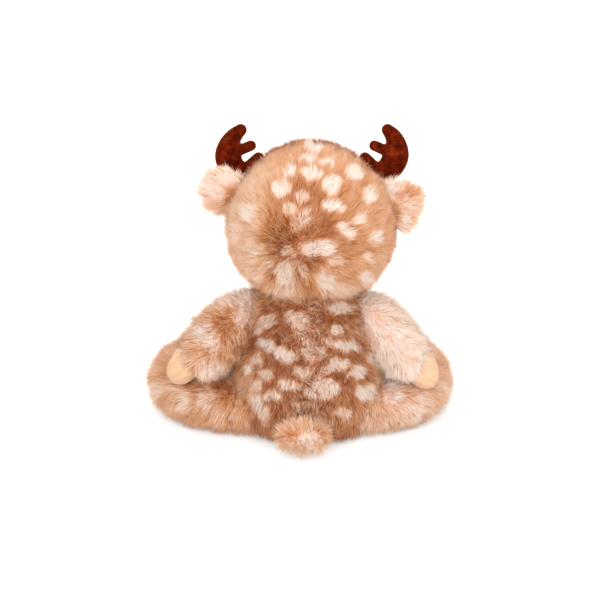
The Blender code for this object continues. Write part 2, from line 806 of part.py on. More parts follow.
# Antlers
def antler_point(side, swell, height):
    out = HEAD_WIDTH / 2 - ANTLER_INSET
    base = head_centre() + Vector((SIDES[side] * out, -ANTLER_AHEAD, ANTLER_ROOT_RISE))
    out_share = swell + ANTLER_LEAN_SHARE[side] * height * height
    return base + Vector((SIDES[side] * ANTLER_SWELL * out_share, 0.0, ANTLER_HEIGHT * height))


def antler_form(name, side, inset, finish, run_on=0.0, **more):
    """The beam and its tines as one padded shape, whose root can run on downwards."""
    half = ANTLER_THICKNESS / 2
    rows = []
    for swell, height, size in ANTLER_BEAM_SHARES:
        point = antler_point(side, swell, height)
        radius = ANTLER_RADIUS * size
        rows.append((*point, radius - inset, min(half, radius) - inset))
    if run_on:
        root = Vector(rows[0][:3])
        along = (Vector(rows[1][:3]) - root).normalized()
        rows.insert(0, (*(root - along * run_on), *rows[0][3:]))
    beam = tube(name, rows, ALONG_Y, LIMB_SIDES, finish, tip="round", **more)
    for number, (start, end) in enumerate(ANTLER_TINE_SHARES, 1):
        radius = ANTLER_TINE_RADIUS - inset
        tine_rows = [(*antler_point(side, *place), radius, radius) for place in (start, end)]
        tine = tube(
            name + "_tine_" + str(number),
            tine_rows,
            ALONG_Y,
            SMALL_SIDES,
            None,
            tip="round",
            cutter=True,
        )
        joined_with(beam, tine)
    return beam


def make_antler(side):
    """A velour cover open at its root, and its stuffing. Returns the room for its root in the head."""
    pivot = antler_point(side, 0, 0)
    cover = antler_form("antler_" + side, side, 0, "velour", pivot=pivot)
    hollow = antler_form("antler_hollow_" + side, side, VELOUR_WALL, None, OVERRUN, cutter=True)
    antler_form("antler_stuffing_" + side, side, VELOUR_WALL + GAP, "fibre", pivot=pivot)
    cut_by(cover, hollow)
    return antler_form("antler_room_" + side, side, -GAP, None, GAP, cutter=True)


# Arms
def arm_rows(side, shares, radius):
    start = shoulder(side)
    sign = SIDES[side]
    reach_full = ARM_REACH * ARM_REACH_SHARE[side]
    drop_full = start.z - (LEG_HEIGHT - HAND_SINK)
    rows = []
    for reach, setback, drop, size in shares:
        x = start.x + sign * reach_full * reach
        y = start.y + ARM_SETBACK * setback
        z = start.z - drop_full * drop
        rows.append((x, y, z, radius * size, radius * size))
    return rows


def make_limb(word, side, rows, hoof_rows, cutters, **more):
    """A limb's cover, its hoof and its stuffing, which runs on into the hoof."""
    start = Vector(rows[0][:3])
    end = Vector(rows[-1][:3])
    seam = (end - Vector(rows[-2][:3])).normalized()
    hoof_rows[0] = (*(end + seam * GAP), *hoof_rows[0][3:])
    limb, hoof = word
    skin = limb_sleeve(
        limb + "_skin_" + side, rows, PILE_WALL, seam, "spotted_fur", pivot=start, **more
    )
    hoof_cap(hoof + "_hoof_" + side, hoof_rows, SUEDE_WALL, seam, "suede", pivot=start)
    core = thinner(rows, PILE_WALL + LIMB_STUFFING_GAP)
    hoof_core = thinner(hoof_rows, SUEDE_WALL + LIMB_STUFFING_GAP)
    slim = min(*core[-1][3:], *hoof_core[0][3:]) * SEAM_SHARE
    stuffing = tube(
        limb + "_stuffing_" + side,
        core[:-1] + [(*end, slim, slim)] + hoof_core[1:],
        UP,
        LIMB_SIDES // 2,
        "fibre",
        tip="round",
        seam=(len(core) - 1, seam),
        pivot=start,
    )
    cut_by(skin, *cutters)
    cut_by(stuffing, *cutters)


def make_arm(side, cutters):
    rows = arm_rows(side, ARM_SHARES, ARM_RADIUS)
    hoof_rows = arm_rows(side, HAND_HOOF_SHARES, HAND_HOOF_RADIUS)
    make_limb(("arm", "hand"), side, rows, hoof_rows, cutters)


# Legs
def leg_rows(side, shares, width, height, on_floor=True):
    start = hip(side)
    sign = SIDES[side]
    rows = []
    for reach, ahead, wide, high in shares:
        x = start.x + sign * LEG_REACH[side] * reach
        y = start.y - LEG_LENGTH_AHEAD * ahead
        half = height / 2 * high
        z = half - FLOOR_CUT if on_floor else LEG_HEIGHT / 2 * LEG_SHARES[-1][3]
        rows.append((x, y, z, width / 2 * wide, half))
    return rows


def make_leg(side, cutters):
    rows = leg_rows(side, LEG_SHARES, LEG_WIDTH[side], LEG_HEIGHT)
    hoof_rows = leg_rows(side, FOOT_HOOF_SHARES, FOOT_HOOF_WIDTH, FOOT_HOOF_HEIGHT, False)
    make_limb(("leg", "foot"), side, rows, hoof_rows, cutters, on_floor=True)


def limb_seats(name, centre, radius, axis, turns):
    """The body as the turned limb meets it, a little grown and without the ball of the limb's socket."""
    profile = ball_profile(radius + GAP / 2, radius + GAP / 2, LIMB_SIDES // 2)
    ball = turned(name + "_ball", profile, LIMB_SIDES, None, Matrix.Translation(centre), cutter=True)
    seats = []
    for number, turn in enumerate(turns):
        grown = body_form(name + "_" + str(number), -LIMB_SEAT_GAP, -LIMB_SEAT_GAP, cutter=True)
        grown.matrix_world = turned_about(centre, axis, -turn) @ grown.matrix_world
        seats.append(grown)
    joined_with(seats[0], *seats[1:])
    cut_by(seats[0], ball)
    return seats[0]


# Tail
def make_tail():
    centre = tail_centre()
    half_sizes = (TAIL_WIDTH / 2, TAIL_DEPTH / 2, TAIL_HEIGHT / 2)
    inner = tuple(half - PILE_WALL for half in half_sizes)
    core = tuple(half - PILE_WALL - GAP for half in half_sizes)
    skin = stretched_ball(
        "tail_skin", centre, half_sizes, LIMB_SIDES, "spotted_fur", on_floor=True, pivot=tail_hinge()
    )
    stuffing = stretched_ball("tail_stuffing", centre, core, LIMB_SIDES, "fibre", pivot=tail_hinge())
    hollow = stretched_ball("tail_hollow", centre, inner, LIMB_SIDES, None, cutter=True)
    opening = [(TAIL_OPENING_RADIUS, 0), (TAIL_OPENING_RADIUS, TAIL_DEPTH)]
    sewn_end = turned("tail_opening", opening, SMALL_SIDES, None, facing(centre, -ALONG_Y), cutter=True)
    cut_by(skin, hollow, sewn_end)
    for number, turn in enumerate(TAIL_TURNS):
        grown = body_form("tail_seat_" + str(number), -GAP, 0, cutter=True)
        grown.matrix_world = turned_about(tail_hinge(), ALONG_X, -turn) @ grown.matrix_world
        cut_by(skin, grown)
        cut_by(stuffing, grown)


def main():
    for old in list(bpy.data.objects):
        bpy.data.objects.remove(old, do_unlink=True)

    arm_root = ARM_RADIUS * ARM_SHARES[0][3]
    leg_root = LEG_HEIGHT / 2 * LEG_SHARES[0][3]
    sockets = []
    for side in SIDES:
        sockets.append(socket_ball("shoulder_socket_" + side, shoulder(side), arm_root))
        sockets.append(socket_ball("hip_socket_" + side, hip(side), leg_root))
    make_body(sockets)
    make_neck()
    skin_cuts, core_cuts = make_eyes()
    for side in SIDES:
        skin_cuts.append(make_ear(side))
        antler_room = make_antler(side)
        skin_cuts.append(antler_room)
        core_cuts.append(antler_room)
    make_head(skin_cuts, core_cuts)
    make_muzzle()
    for side, sign in SIDES.items():
        leg_seats = limb_seats("leg_seat_" + side, hip(side), leg_root, ALONG_X, LEG_TURNS)
        make_leg(side, [leg_seats])
        arm_axis = ALONG_Y * -sign
        arm_seats = limb_seats("arm_seat_" + side, shoulder(side), arm_root, arm_axis, ARM_TURNS)
        thigh_rows = [
            (*row[:3], row[3] + GAP, row[4] + GAP)
            for row in leg_rows(side, LEG_SHARES, LEG_WIDTH[side], LEG_HEIGHT)
        ]
        thigh = tube(
            "arm_rest_" + side, thigh_rows, UP, LIMB_SIDES, None, root="round", cutter=True
        )
        make_arm(side, [arm_seats, thigh])
    make_tail()


main()
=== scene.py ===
from math import atan, cos, pi, radians, sin

import bpy
import numpy as np
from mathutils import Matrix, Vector
from mathutils.kdtree import KDTree


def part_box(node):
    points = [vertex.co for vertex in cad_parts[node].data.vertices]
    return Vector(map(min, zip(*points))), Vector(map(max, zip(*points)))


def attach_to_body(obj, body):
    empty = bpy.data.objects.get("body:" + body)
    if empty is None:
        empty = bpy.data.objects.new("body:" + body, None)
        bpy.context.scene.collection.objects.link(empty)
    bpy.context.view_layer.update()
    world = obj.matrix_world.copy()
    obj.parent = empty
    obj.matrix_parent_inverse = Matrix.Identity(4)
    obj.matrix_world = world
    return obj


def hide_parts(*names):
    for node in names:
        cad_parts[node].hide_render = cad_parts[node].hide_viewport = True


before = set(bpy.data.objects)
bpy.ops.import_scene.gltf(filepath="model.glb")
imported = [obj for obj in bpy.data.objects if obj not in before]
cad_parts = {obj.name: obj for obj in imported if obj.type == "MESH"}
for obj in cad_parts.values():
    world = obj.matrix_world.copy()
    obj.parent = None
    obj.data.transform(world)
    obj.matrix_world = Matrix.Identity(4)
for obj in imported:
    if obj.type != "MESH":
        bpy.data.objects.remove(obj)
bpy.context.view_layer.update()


def xyz(*values):
    return np.array(values, float)


def shares(*rows):
    """Shares that are written in hundredths."""
    return np.array(rows) / 100


X_AXIS, Y_AXIS, Z_AXIS = np.eye(3)
SIDES = {"left": 1, "right": -1}

# Camera at the photograph's angle, behind the deer and a little above it
IMAGE_SIDE = 600
CAMERA_TARGET = xyz(0.00675, 0.0, 0.1173)
CAMERA_DISTANCE = 1.6
CAMERA_RISE = radians(18)
VIEW_WIDTH = 0.540
TOWARDS_CAMERA = xyz(0.0, cos(CAMERA_RISE), sin(CAMERA_RISE))
PICTURE_RIGHT = -X_AXIS
PICTURE_UP = xyz(0.0, -sin(CAMERA_RISE), cos(CAMERA_RISE))

# Body: rows of height, width, depth and setback shares
BODY_WIDTH = 0.142
BODY_DEPTH = 0.126
BODY_HEIGHT = 0.156
BODY_SETBACK = 0.010
BODY_SIDES = 72
BODY_ROWS = shares(
    (0, 70, 72, 100), (3, 86, 88, 100), (11, 97, 98, 100), (24, 100, 100, 100), (38, 99, 98, 90),
    (52, 94, 91, 60), (66, 84, 81, 30), (78, 74, 72, 0), (89, 60, 58, -20), (96, 40, 38, -30),
)
BODY_TOP = shares(99, 20, 19, -30)

# Head
HEAD_CENTRE = xyz(-0.003, -0.010, 0.188)
HEAD_HALF = xyz(0.0755, 0.0755, 0.073)
CHEEK_DROP = 0.62
CHEEK_HEIGHT = 0.42
CHEEK_SWELL = 0.075
CROWN_TAPER = 0.06
CROWN_EDGES = (0.3, 0.9)

# Arms: rows of reach, setback, drop and radius shares
SHOULDER_OUT = 0.050
SHOULDER_HEIGHT = 0.106
ARM_REACH = {"left": 0.072, "right": 0.0619}
ARM_DROP = 0.054
ARM_SETBACK = 0.026
ARM_RADIUS = 0.0255
ARM_SIDES = 40
CUFF_SHARE = {"left": 0.73, "right": 0.78}
ARM_ROWS = shares(
    (-10, 0, -14, 72), (6, 16, 0, 96), (28, 40, 20, 106), (50, 70, 48, 106), (66, 92, 67, 94),
    (77, 98, 76, 70),
)

# Legs: rows of reach, ahead, width and height shares
HIP_OUT = 0.050
HIP_SETBACK = 0.026
LEG_REACH = {"left": 0.067, "right": 0.055}
LEG_AHEAD = 0.148
LEG_WIDTH = {"left": 0.060, "right": 0.058}
LEG_HEIGHT = 0.054
LEG_SIDES = 48
LEG_ROWS = shares(
    (0, 0, 87, 97), (38, 5, 94, 97), (73, 15, 100, 100), (97, 32, 100, 100), (100, 51, 100, 100),
    (96, 70, 96, 97), (90, 84, 80, 84),
)
FOOT_SIDES = 40
FOOT_HOOF_WIDTH = 0.034
FOOT_HOOF_HEIGHT = 0.036
FOOT_HOOF_ROWS = shares(
    (92, 79, 90, 90), (90, 84, 102, 102), (85, 91, 98, 98), (80, 96, 76, 78),
)

# Tail
TAIL_CENTRE = xyz(0.004, 0.091, 0.0225)
TAIL_HALF = xyz(0.030, 0.022, 0.0195)

# Ears: rows of length, width and thickness shares
EAR_ROOT_REACH = 0.0735
EAR_ROOT_BEHIND = 0.006
EAR_RISE = {"left": 21, "right": 11}
EAR_TILT = {"left": 18, "right": 28}
EAR_LENGTH = {"left": 0.027, "right": 0.028}
EAR_WIDTH = {"left": 0.045, "right": 0.051}
EAR_THICKNESS = 0.013
EAR_SIDES = 40
EAR_ROWS = {
    "left": shares(
        (-16, 84, 84), (8, 94, 90), (28, 100, 94), (50, 95, 100), (72, 80, 84), (90, 50, 52),
    ),
    "right": shares(
        (-16, 96, 84), (8, 100, 90), (28, 92, 94), (50, 74, 90), (72, 52, 74), (94, 26, 48),
    ),
}

# Antlers: rows of swell, height and radius shares, and each tine's root and tip
ANTLER_OUT = 0.0575
ANTLER_AHEAD = 0.010
ANTLER_ROOT_RISE = 0.030
ANTLER_SWELL = 0.0165
ANTLER_HEIGHT = 0.051
ANTLER_LEAN = {"left": 0.0, "right": 0.34}
ANTLER_RADIUS = 0.0118
ANTLER_HALF_THICKNESS = 0.0068
ANTLER_ROWS = shares(
    (0, 0, 72), (55, 24, 92), (90, 42, 100), (100, 58, 96), (90, 75, 78), (61, 90, 62), (28, 100, 47),
)
TINES = (
    ((0.62, 0.60), (-0.25, 0.72), 0.0049),
    ((0.21, 0.25), (-0.66, 0.50), 0.0054),
)

# Muzzle
MUZZLE_CENTRE = xyz(-0.003, -0.078, 0.170)
MUZZLE_HALF = xyz(0.030, 0.028, 0.023)

# Fur tones from dark to cream, with the colour of each
TONES = (
    (0.00, "90441C"), (0.14, "BC6C36"), (0.30, "D89258"), (0.45, "E8AE82"),
    (0.60, "F0C29E"), (0.75, "FAD6BA"), (0.87, "FFE7D6"), (1.00, "FFF6EE"),
)
TIP_COLOUR = "FFF0E6"
SHEEN_COLOUR = "FFD2B4"
# Painted shade along a strand, darkest at the root where the strands shade each other, and none towards the
# tip
PAINTED_ROOT_SHADE = ((0.0, "D8A282"), (0.35, "F6DAC4"), (0.65, "FFFFFF"), (1.0, "FFFFFF"))
TIP_START = 0.7
TIP_STRENGTH = 0.18


def linear(code):
    """The linear colour of a written sRGB code."""
    values = [int(code[i : i + 2], 16) / 255 for i in (0, 2, 4)]
    return [v / 12.92 if v <= 0.04045 else ((v + 0.055) / 1.055) ** 2.4 for v in values] + [1.0]


def unit(vectors):
    return vectors / np.maximum(np.linalg.norm(vectors, axis=-1, keepdims=True), 1e-12)


def blend_step(values, low, high):
    """From 0 at low to 1 at high, smoothly."""
    t = np.clip((values - low) / (high - low), 0, 1)
    return t * t * (3 - 2 * t)


def photo_places(points):
    """Where points show in the picture, in its pixels."""
    from_target = points - CAMERA_TARGET
    depth = CAMERA_DISTANCE - from_target @ TOWARDS_CAMERA
    focal = IMAGE_SIDE * CAMERA_DISTANCE / VIEW_WIDTH
    across = IMAGE_SIDE / 2 + focal * (from_target @ PICTURE_RIGHT) / depth
    down = IMAGE_SIDE / 2 - focal * (from_target @ PICTURE_UP) / depth
    return across, down


WAVE_COUNT = 7
WAVE_SPREAD = (0.6, 1.5)
WAVE_SCALE = 1.2


def waves(points, length, seed):
    """Smooth noise near -1 to 1 whose features are about a length apart."""
    rng = np.random.default_rng(seed)
    directions = unit(rng.normal(size=(WAVE_COUNT, 3))) * 2 * pi / length
    directions *= rng.uniform(*WAVE_SPREAD, (WAVE_COUNT, 1))
    phases = rng.uniform(0, 2 * pi, WAVE_COUNT)
    return np.sin(points @ directions.T + phases).sum(axis=1) / WAVE_COUNT**0.5 / WAVE_SCALE


def with_waves(values, points, table, seed):
    """The values with waves added, a row of strength and length for each."""
    for i, (strength, length) in enumerate(table):
        values = values + strength * waves(points, length, seed + i)
    return values


# Surfaces are dictionaries of points, triangles and normals
def ring(centre, across, upward, half_width, half_height, sides):
    turns = np.arange(sides) * 2 * pi / sides
    circle = np.outer(np.cos(turns) * half_width, across)
    return centre + circle + np.outer(np.sin(turns) * half_height, upward)


def surface_over(rings, first_pole, last_pole):
    sides = len(rings[0])
    points = np.vstack([*rings, first_pole, last_pole])
    here = np.arange(sides)
    beside = (here + 1) % sides
    top = (len(rings) - 1) * sides
    found = []
    for low in range(0, top, sides):
        a, b, c, d = low + here, low + beside, low + sides + here, low + sides + beside
        found += [(a, b, d), (a, d, c)]
    found.append((np.full(sides, top + sides), beside, here))
    found.append((np.full(sides, top + sides + 1), top + here, top + beside))
    triangles = np.vstack([np.stack(corners, 1) for corners in found])
    a, b, c = (points[triangles[:, corner]] for corner in range(3))
    turned = np.einsum("ij,ij->i", a, np.cross(b, c)).sum() < 0
    return with_normals(points, triangles[:, ::-1] if turned else triangles)


def face_crosses(points, triangles):
    """The normal of each triangle, as long as twice its area."""
    a, b, c = (points[triangles[:, corner]] for corner in range(3))
    return np.cross(b - a, c - a)


def with_normals(points, triangles):
    faces = face_crosses(points, triangles)
    normals = np.zeros_like(points)
    for corner in range(3):
        np.add.at(normals, triangles[:, corner], faces)
    return {"points": points, "triangles": triangles, "normals": unit(normals)}


def above(points, floor):
    points[..., 2] = np.maximum(points[..., 2], floor)
    return points


def inset(surface, rise):
    """The surface drawn in along its normals, and kept above the floor."""
    points = above(surface["points"] - surface["normals"] * rise, BACKING_FLOOR)
    return with_normals(points, surface["triangles"])


def smooth_rows(rows, steps):
    """Rows of numbers on a smooth curve through the given rows."""
    rows = np.array(rows, float)
    longer = np.vstack([2 * rows[0] - rows[1], rows, 2 * rows[-1] - rows[-2]])
    found = []
    for i in range(len(rows) - 1):
        a, b, c, d = longer[i : i + 4]
        for t in np.arange(steps) / steps:
            curve = 2 * a - 5 * b + 4 * c - d
            found.append(b + (c - a) * t / 2 + curve * t**2 / 2 + (3 * b - a - 3 * c + d) * t**3 / 2)
    return np.array([*found, rows[-1]])


def tube_surface(rows, sides, upright, steps=6, cap_steps=6):
    """A tube with round ends along rows of x, y, z, half width and half height."""
    rows = smooth_rows(rows, steps)
    last = len(rows) - 1
    rings, poles = [], []
    for i, (centre, (wide, high)) in enumerate(zip(rows[:, :3], rows[:, 3:])):
        along = unit(rows[min(i + 1, last), :3] - rows[max(i - 1, 0), :3])
        across = unit(np.cross(along, upright))
        axes = across, np.cross(across, along)
        found = [ring(centre, *axes, wide, high, sides)]
        if i in (0, last):
            reach = along * min(wide, high) * (1 if i else -1)
            poles.append(centre + reach)
            for step in range(cap_steps - 1, 0, -1):
                turn = pi / 2 * step / cap_steps
                place, size = centre + reach * cos(turn), sin(turn)
                found.append(ring(place, *axes, wide * size, high * size, sides))
        rings += found if i else found[::-1]
    return surface_over(rings, *poles)


def ball_surface(centre, half_sizes, sides=48, rows=32):
    rings = []
    for turn in pi * np.arange(1, rows) / rows:
        middle = centre - Z_AXIS * half_sizes[2] * cos(turn)
        width, depth = half_sizes[0] * sin(turn), half_sizes[1] * sin(turn)
        rings.append(ring(middle, X_AXIS, Y_AXIS, width, depth, sides))
    end = Z_AXIS * half_sizes[2]
    return surface_over(rings, centre - end, centre + end)


def head_surface():
    """The head's ball, a little narrower on top and with full cheeks."""
    ball = ball_surface(HEAD_CENTRE, HEAD_HALF, 72, 40)
    points = ball["points"]
    rise = (points[:, 2] - HEAD_CENTRE[2]) / HEAD_HALF[2]
    cheeks = np.exp(-(((rise + CHEEK_DROP) / CHEEK_HEIGHT) ** 2))
    across = 1 + CHEEK_SWELL * cheeks - CROWN_TAPER * blend_step(rise, *CROWN_EDGES)
    points[:, 0] = HEAD_CENTRE[0] + (points[:, 0] - HEAD_CENTRE[0]) * across
    return with_normals(points, ball["triangles"])


def body_surface():
    rings = []
    for height, width, depth, setback in smooth_rows([*BODY_ROWS, BODY_TOP], 5):
        centre = xyz(0.0, BODY_SETBACK * setback, BODY_HEIGHT * height)
        half = (BODY_WIDTH / 2 * width, BODY_DEPTH / 2 * depth)
        rings.append(ring(centre, X_AXIS, Y_AXIS, *half, BODY_SIDES))
    low = xyz(0.0, BODY_SETBACK, 0.0)
    top = xyz(0.0, BODY_TOP[3] * BODY_SETBACK, BODY_HEIGHT)
    return surface_over(rings, low, top)


def arm_line(side):
    """The shoulder, and the way from it to the end of the arm."""
    start = xyz(SIDES[side] * SHOULDER_OUT, 0.0, SHOULDER_HEIGHT)
    return start, xyz(SIDES[side] * ARM_REACH[side], ARM_SETBACK, -ARM_DROP)


def arm_path(side):
    start, full = arm_line(side)
    found = []
    for *shares, size in ARM_ROWS:
        found.append((*(start + full * shares), ARM_RADIUS * size, ARM_RADIUS * size))
    return found


def foot_path(side, rows, width, height, centre_height=None):
    start = xyz(SIDES[side] * HIP_OUT, HIP_SETBACK, 0.0)
    found = []
    for reach, ahead, wide, high in rows:
        rise = centre_height or height / 2 * high
        shift = xyz(SIDES[side] * LEG_REACH[side] * reach, -LEG_AHEAD * ahead, rise)
        found.append((*(start + shift), width / 2 * wide, height / 2 * high))
    return found


def leg_path(side):
    return foot_path(side, LEG_ROWS, LEG_WIDTH[side], LEG_HEIGHT)


def ear_axes(side):
    """The ear's root, and the way that it points."""
    sign, tilt, rise = SIDES[side], radians(EAR_TILT[side]), radians(EAR_RISE[side])
    reach = xyz(sign * EAR_ROOT_REACH * cos(rise), EAR_ROOT_BEHIND, EAR_ROOT_REACH * sin(rise))
    return HEAD_CENTRE + reach, xyz(sign * cos(tilt), 0.0, sin(tilt))


def ear_surface(side):
    root, outward = ear_axes(side)
    rows = []
    for length, width, thickness in EAR_ROWS[side]:
        centre = root + outward * EAR_LENGTH[side] * length
        rows.append((*centre, EAR_WIDTH[side] / 2 * width, EAR_THICKNESS / 2 * thickness))
    return tube_surface(rows, EAR_SIDES, Y_AXIS)


# Which places lie deeper than a depth inside a form
def in_ball(points, centre, half_sizes, depth):
    return (((points - centre) / (half_sizes - depth)) ** 2).sum(axis=1) < 1


def in_body(points, depth):
    rows = smooth_rows(BODY_ROWS, 4)
    height = np.clip(points[:, 2] / BODY_HEIGHT, 0, 1)
    wide, deep, back = (np.interp(height, rows[:, 0], column) for column in rows.T[1:])
    across = points[:, 0] / (wide * BODY_WIDTH / 2 - depth)
    along = (points[:, 1] - back * BODY_SETBACK) / (deep * BODY_DEPTH / 2 - depth)
    return (across**2 + along**2 < 1) & (points[:, 2] < BODY_HEIGHT - depth)


def in_tube(points, path, depth):
    inside = np.zeros(len(points), bool)
    for x, y, z, half_width, half_height in smooth_rows(path, 3):
        sizes = xyz(half_width, half_width, half_height)
        inside |= in_ball(points, (x, y, z), sizes, depth)
    return inside


def past_cuff(side, points):
    """Where the arm's fur has ended and its hoof begins."""
    start, full = arm_line(side)
    return (points - start) @ full / (full @ full) > CUFF_SHARE[side]


# How deep in its neighbours the fur of a part ends, and how high over the floor
HIDDEN_DEPTHS = {
    "head": {"body": 0.012, "muzzle": 0.004},
    "body": {"head": 0.012, "arm": 0.011, "leg": 0.012, "tail": 0.008, "floor": 0.003},
    "arm": {"body": 0.012, "leg": 0.012},
    "leg": {"body": 0.012, "arm": 0.014, "floor": 0.003},
    "ear": {"head": 0.010},
    "tail": {"body": 0.010, "floor": 0.003},
    "muzzle": {"head": 0.010},
}
BALLS = {
    "head": (HEAD_CENTRE, HEAD_HALF),
    "muzzle": (MUZZLE_CENTRE, MUZZLE_HALF),
    "tail": (TAIL_CENTRE, TAIL_HALF),
}


def hidden_places(part, sides=SIDES):
    """A function for which places on a part lie inside its neighbours, where it grows no fur."""
    limbs = {"arm": arm_path, "leg": leg_path}

    def hidden_at(points):
        hidden = past_cuff(*sides, points) if part == "arm" else np.zeros(len(points), bool)
        for neighbour, depth in HIDDEN_DEPTHS[part].items():
            if neighbour in BALLS:
                hidden |= in_ball(points, *BALLS[neighbour], depth)
            elif neighbour in limbs:
                for side in sides:
                    hidden |= in_tube(points, limbs[neighbour](side), depth)
            else:
                hidden |= in_body(points, depth) if neighbour == "body" else points[:, 2] < depth
        return hidden

    return hidden_at


# Painted places: across and down in the picture, half width, half height, tone in hundredths,
# strength in tenths, and turn where there is one. Most are the coat's own colours; a few darker strokes in
# creases and below the left arm are painted shade, noted where they stand
TINTS_AND_PAINTED_SHADE = {
    "head": (
        (236, 232, 28, 60, 59, 10), (262, 180, 20, 24, 66, 8, 20), (285, 158, 24, 10, 46, 6, -20),
        (340, 152, 30, 10, 50, 6, 15), (300, 190, 34, 16, 18, 9), (272, 204, 12, 12, 34, 8),
        (330, 224, 30, 18, 18, 9, -25), (352, 200, 24, 26, 33, 6), (378, 215, 16, 40, 46, 6),
        (365, 246, 26, 10, 28, 8), (384, 268, 12, 22, 50, 7), (358, 288, 16, 12, 40, 7, -30),
        (272, 230, 15, 22, 20, 10, 20), (288, 236, 9, 26, 19, 9), (284, 252, 14, 12, 18, 9),
        (316, 264, 16, 8, 16, 9, -30), (332, 258, 14, 6, 22, 8, 35), (303, 282, 8, 18, 22, 9),
        (312, 296, 8, 10, 14, 9), (270, 278, 5, 18, 26, 9, -15), (290, 280, 6, 8, 90, 8),
        (252, 272, 14, 18, 70, 8, 30), (258, 262, 5, 14, 44, 7, 20), (285, 294, 18, 8, 80, 8),
        (340, 292, 20, 8, 76, 8), (300, 268, 5, 6, 66, 6),
    ),
    "body": (
        # The first two, thin and nearly black, run along the creases between the arms and the body: painted
        # crease shade
        (376, 347, 4, 30, 8, 9, -25), (240, 350, 5, 28, 10, 9, 39), (309, 350, 17, 60, 16, 9),
        (309, 405, 34, 10, 9, 9), (278, 336, 20, 10, 14, 8, 35), (268, 364, 20, 8, 14, 8, 30),
        (280, 392, 24, 10, 12, 8, 10), (247, 378, 10, 26, 40, 8, 20), (238, 388, 8, 20, 48, 8, 25),
        (250, 308, 14, 12, 50, 7), (352, 334, 18, 12, 34, 7), (350, 378, 20, 8, 14, 8, -30),
        (345, 402, 22, 12, 14, 8, -10), (374, 350, 10, 24, 38, 7, -20), (384, 372, 12, 14, 36, 7, -20),
        (258, 408, 7, 18, 95, 9, -25), (393, 391, 12, 15, 100, 10, -10), (288, 300, 30, 8, 34, 9),
        (332, 302, 22, 8, 32, 9), (309, 342, 10, 18, 58, 6), (300, 416, 30, 8, 20, 7),
        (350, 420, 24, 10, 30, 7), (296, 433, 16, 10, 22, 7),
    ),
    "left_leg": (
        (158, 368, 11, 16, 42, 9), (151, 392, 7, 14, 88, 8, 10), (150, 360, 5, 16, 70, 7),
        # (216, 384) is a dark band where the left arm shades the leg: painted shadow
        (170, 352, 10, 8, 60, 7), (182, 386, 14, 6, 26, 9, 10), (216, 384, 18, 7, 26, 8),
        (228, 402, 15, 12, 34, 8), (204, 400, 9, 13, 84, 9, 10), (181, 404, 8, 13, 90, 9, 20),
        (170, 388, 12, 8, 74, 7), (168, 408, 6, 14, 56, 7, 20), (193, 412, 5, 12, 50, 8, 15),
        (217, 420, 8, 12, 62, 7, 12), (240, 420, 10, 12, 50, 7, 12), (190, 426, 26, 6, 38, 6, 15),
        (258, 408, 6, 18, 95, 10, -25), (246, 388, 6, 14, 84, 9, -30), (270, 425, 8, 12, 30, 8),
    ),
    "right_leg": (
        (446, 364, 12, 14, 46, 9), (452, 396, 8, 12, 82, 7), (455, 378, 5, 14, 72, 5),
        (426, 393, 14, 6, 50, 8, -10), (440, 403, 10, 14, 54, 7, -30), (420, 408, 7, 20, 93, 9, 25),
        (393, 391, 12, 14, 100, 10, -10), (402, 415, 12, 10, 72, 8), (378, 420, 14, 12, 58, 7),
        (405, 432, 16, 7, 60, 6, -15),
    ),
    "left_arm": (
        (222, 322, 18, 17, 25, 10, 30), (206, 316, 6, 14, 50, 7, 30), (200, 333, 13, 11, 95, 10, 10),
        (218, 300, 8, 7, 84, 8), (243, 310, 11, 18, 95, 10, 15), (236, 292, 18, 9, 90, 9, -20),
        (190, 347, 9, 9, 52, 8), (204, 356, 7, 8, 36, 9), (215, 348, 10, 12, 80, 9, -20),
        # (242, 350) is a thin dark stroke along the crease against the body: painted crease shade
        (228, 348, 9, 18, 34, 9, 25), (213, 372, 13, 8, 88, 9, 20), (242, 350, 6, 22, 20, 9, 30),
        (186, 330, 4, 16, 60, 6), (207, 300, 5, 7, 88, 6),
    ),
    "right_arm": (
        (378, 302, 20, 18, 94, 8, 30), (398, 318, 14, 8, 90, 7, 35), (404, 338, 9, 11, 100, 9, 20),
        # (370, 335) is a darker stroke along the arm's inner edge: painted shade
        (388, 350, 8, 20, 93, 7, -20), (370, 335, 4, 22, 70, 7, -25), (398, 372, 12, 10, 90, 7),
        (416, 348, 8, 14, 92, 7, 20),
    ),
    "left_ear": (
        (226, 174, 16, 8, 100, 9), (212, 190, 12, 16, 90, 9), (210, 206, 8, 8, 66, 7),
        (230, 192, 8, 6, 30, 8), (230, 203, 9, 12, 20, 10, 20), (220, 208, 6, 7, 55, 8),
    ),
    "right_ear": (
        (395, 184, 8, 9, 100, 10, -20), (414, 188, 8, 8, 44, 9, -20), (404, 196, 5, 5, 40, 8),
        (411, 202, 7, 9, 84, 8), (393, 205, 8, 5, 36, 8, 10), (398, 214, 6, 10, 22, 9, -20),
        (406, 222, 7, 10, 90, 8, 20), (396, 232, 6, 8, 74, 7), (388, 222, 5, 10, 50, 7),
    ),
    "tail": (
        (290, 446, 8, 8, 70, 7), (309, 437, 13, 9, 98, 10), (313, 447, 7, 7, 90, 8),
        (291, 434, 6, 9, 36, 9), (310, 422, 20, 5, 56, 8), (330, 436, 6, 11, 50, 8),
        (298, 452, 10, 4, 60, 7),
    ),
}
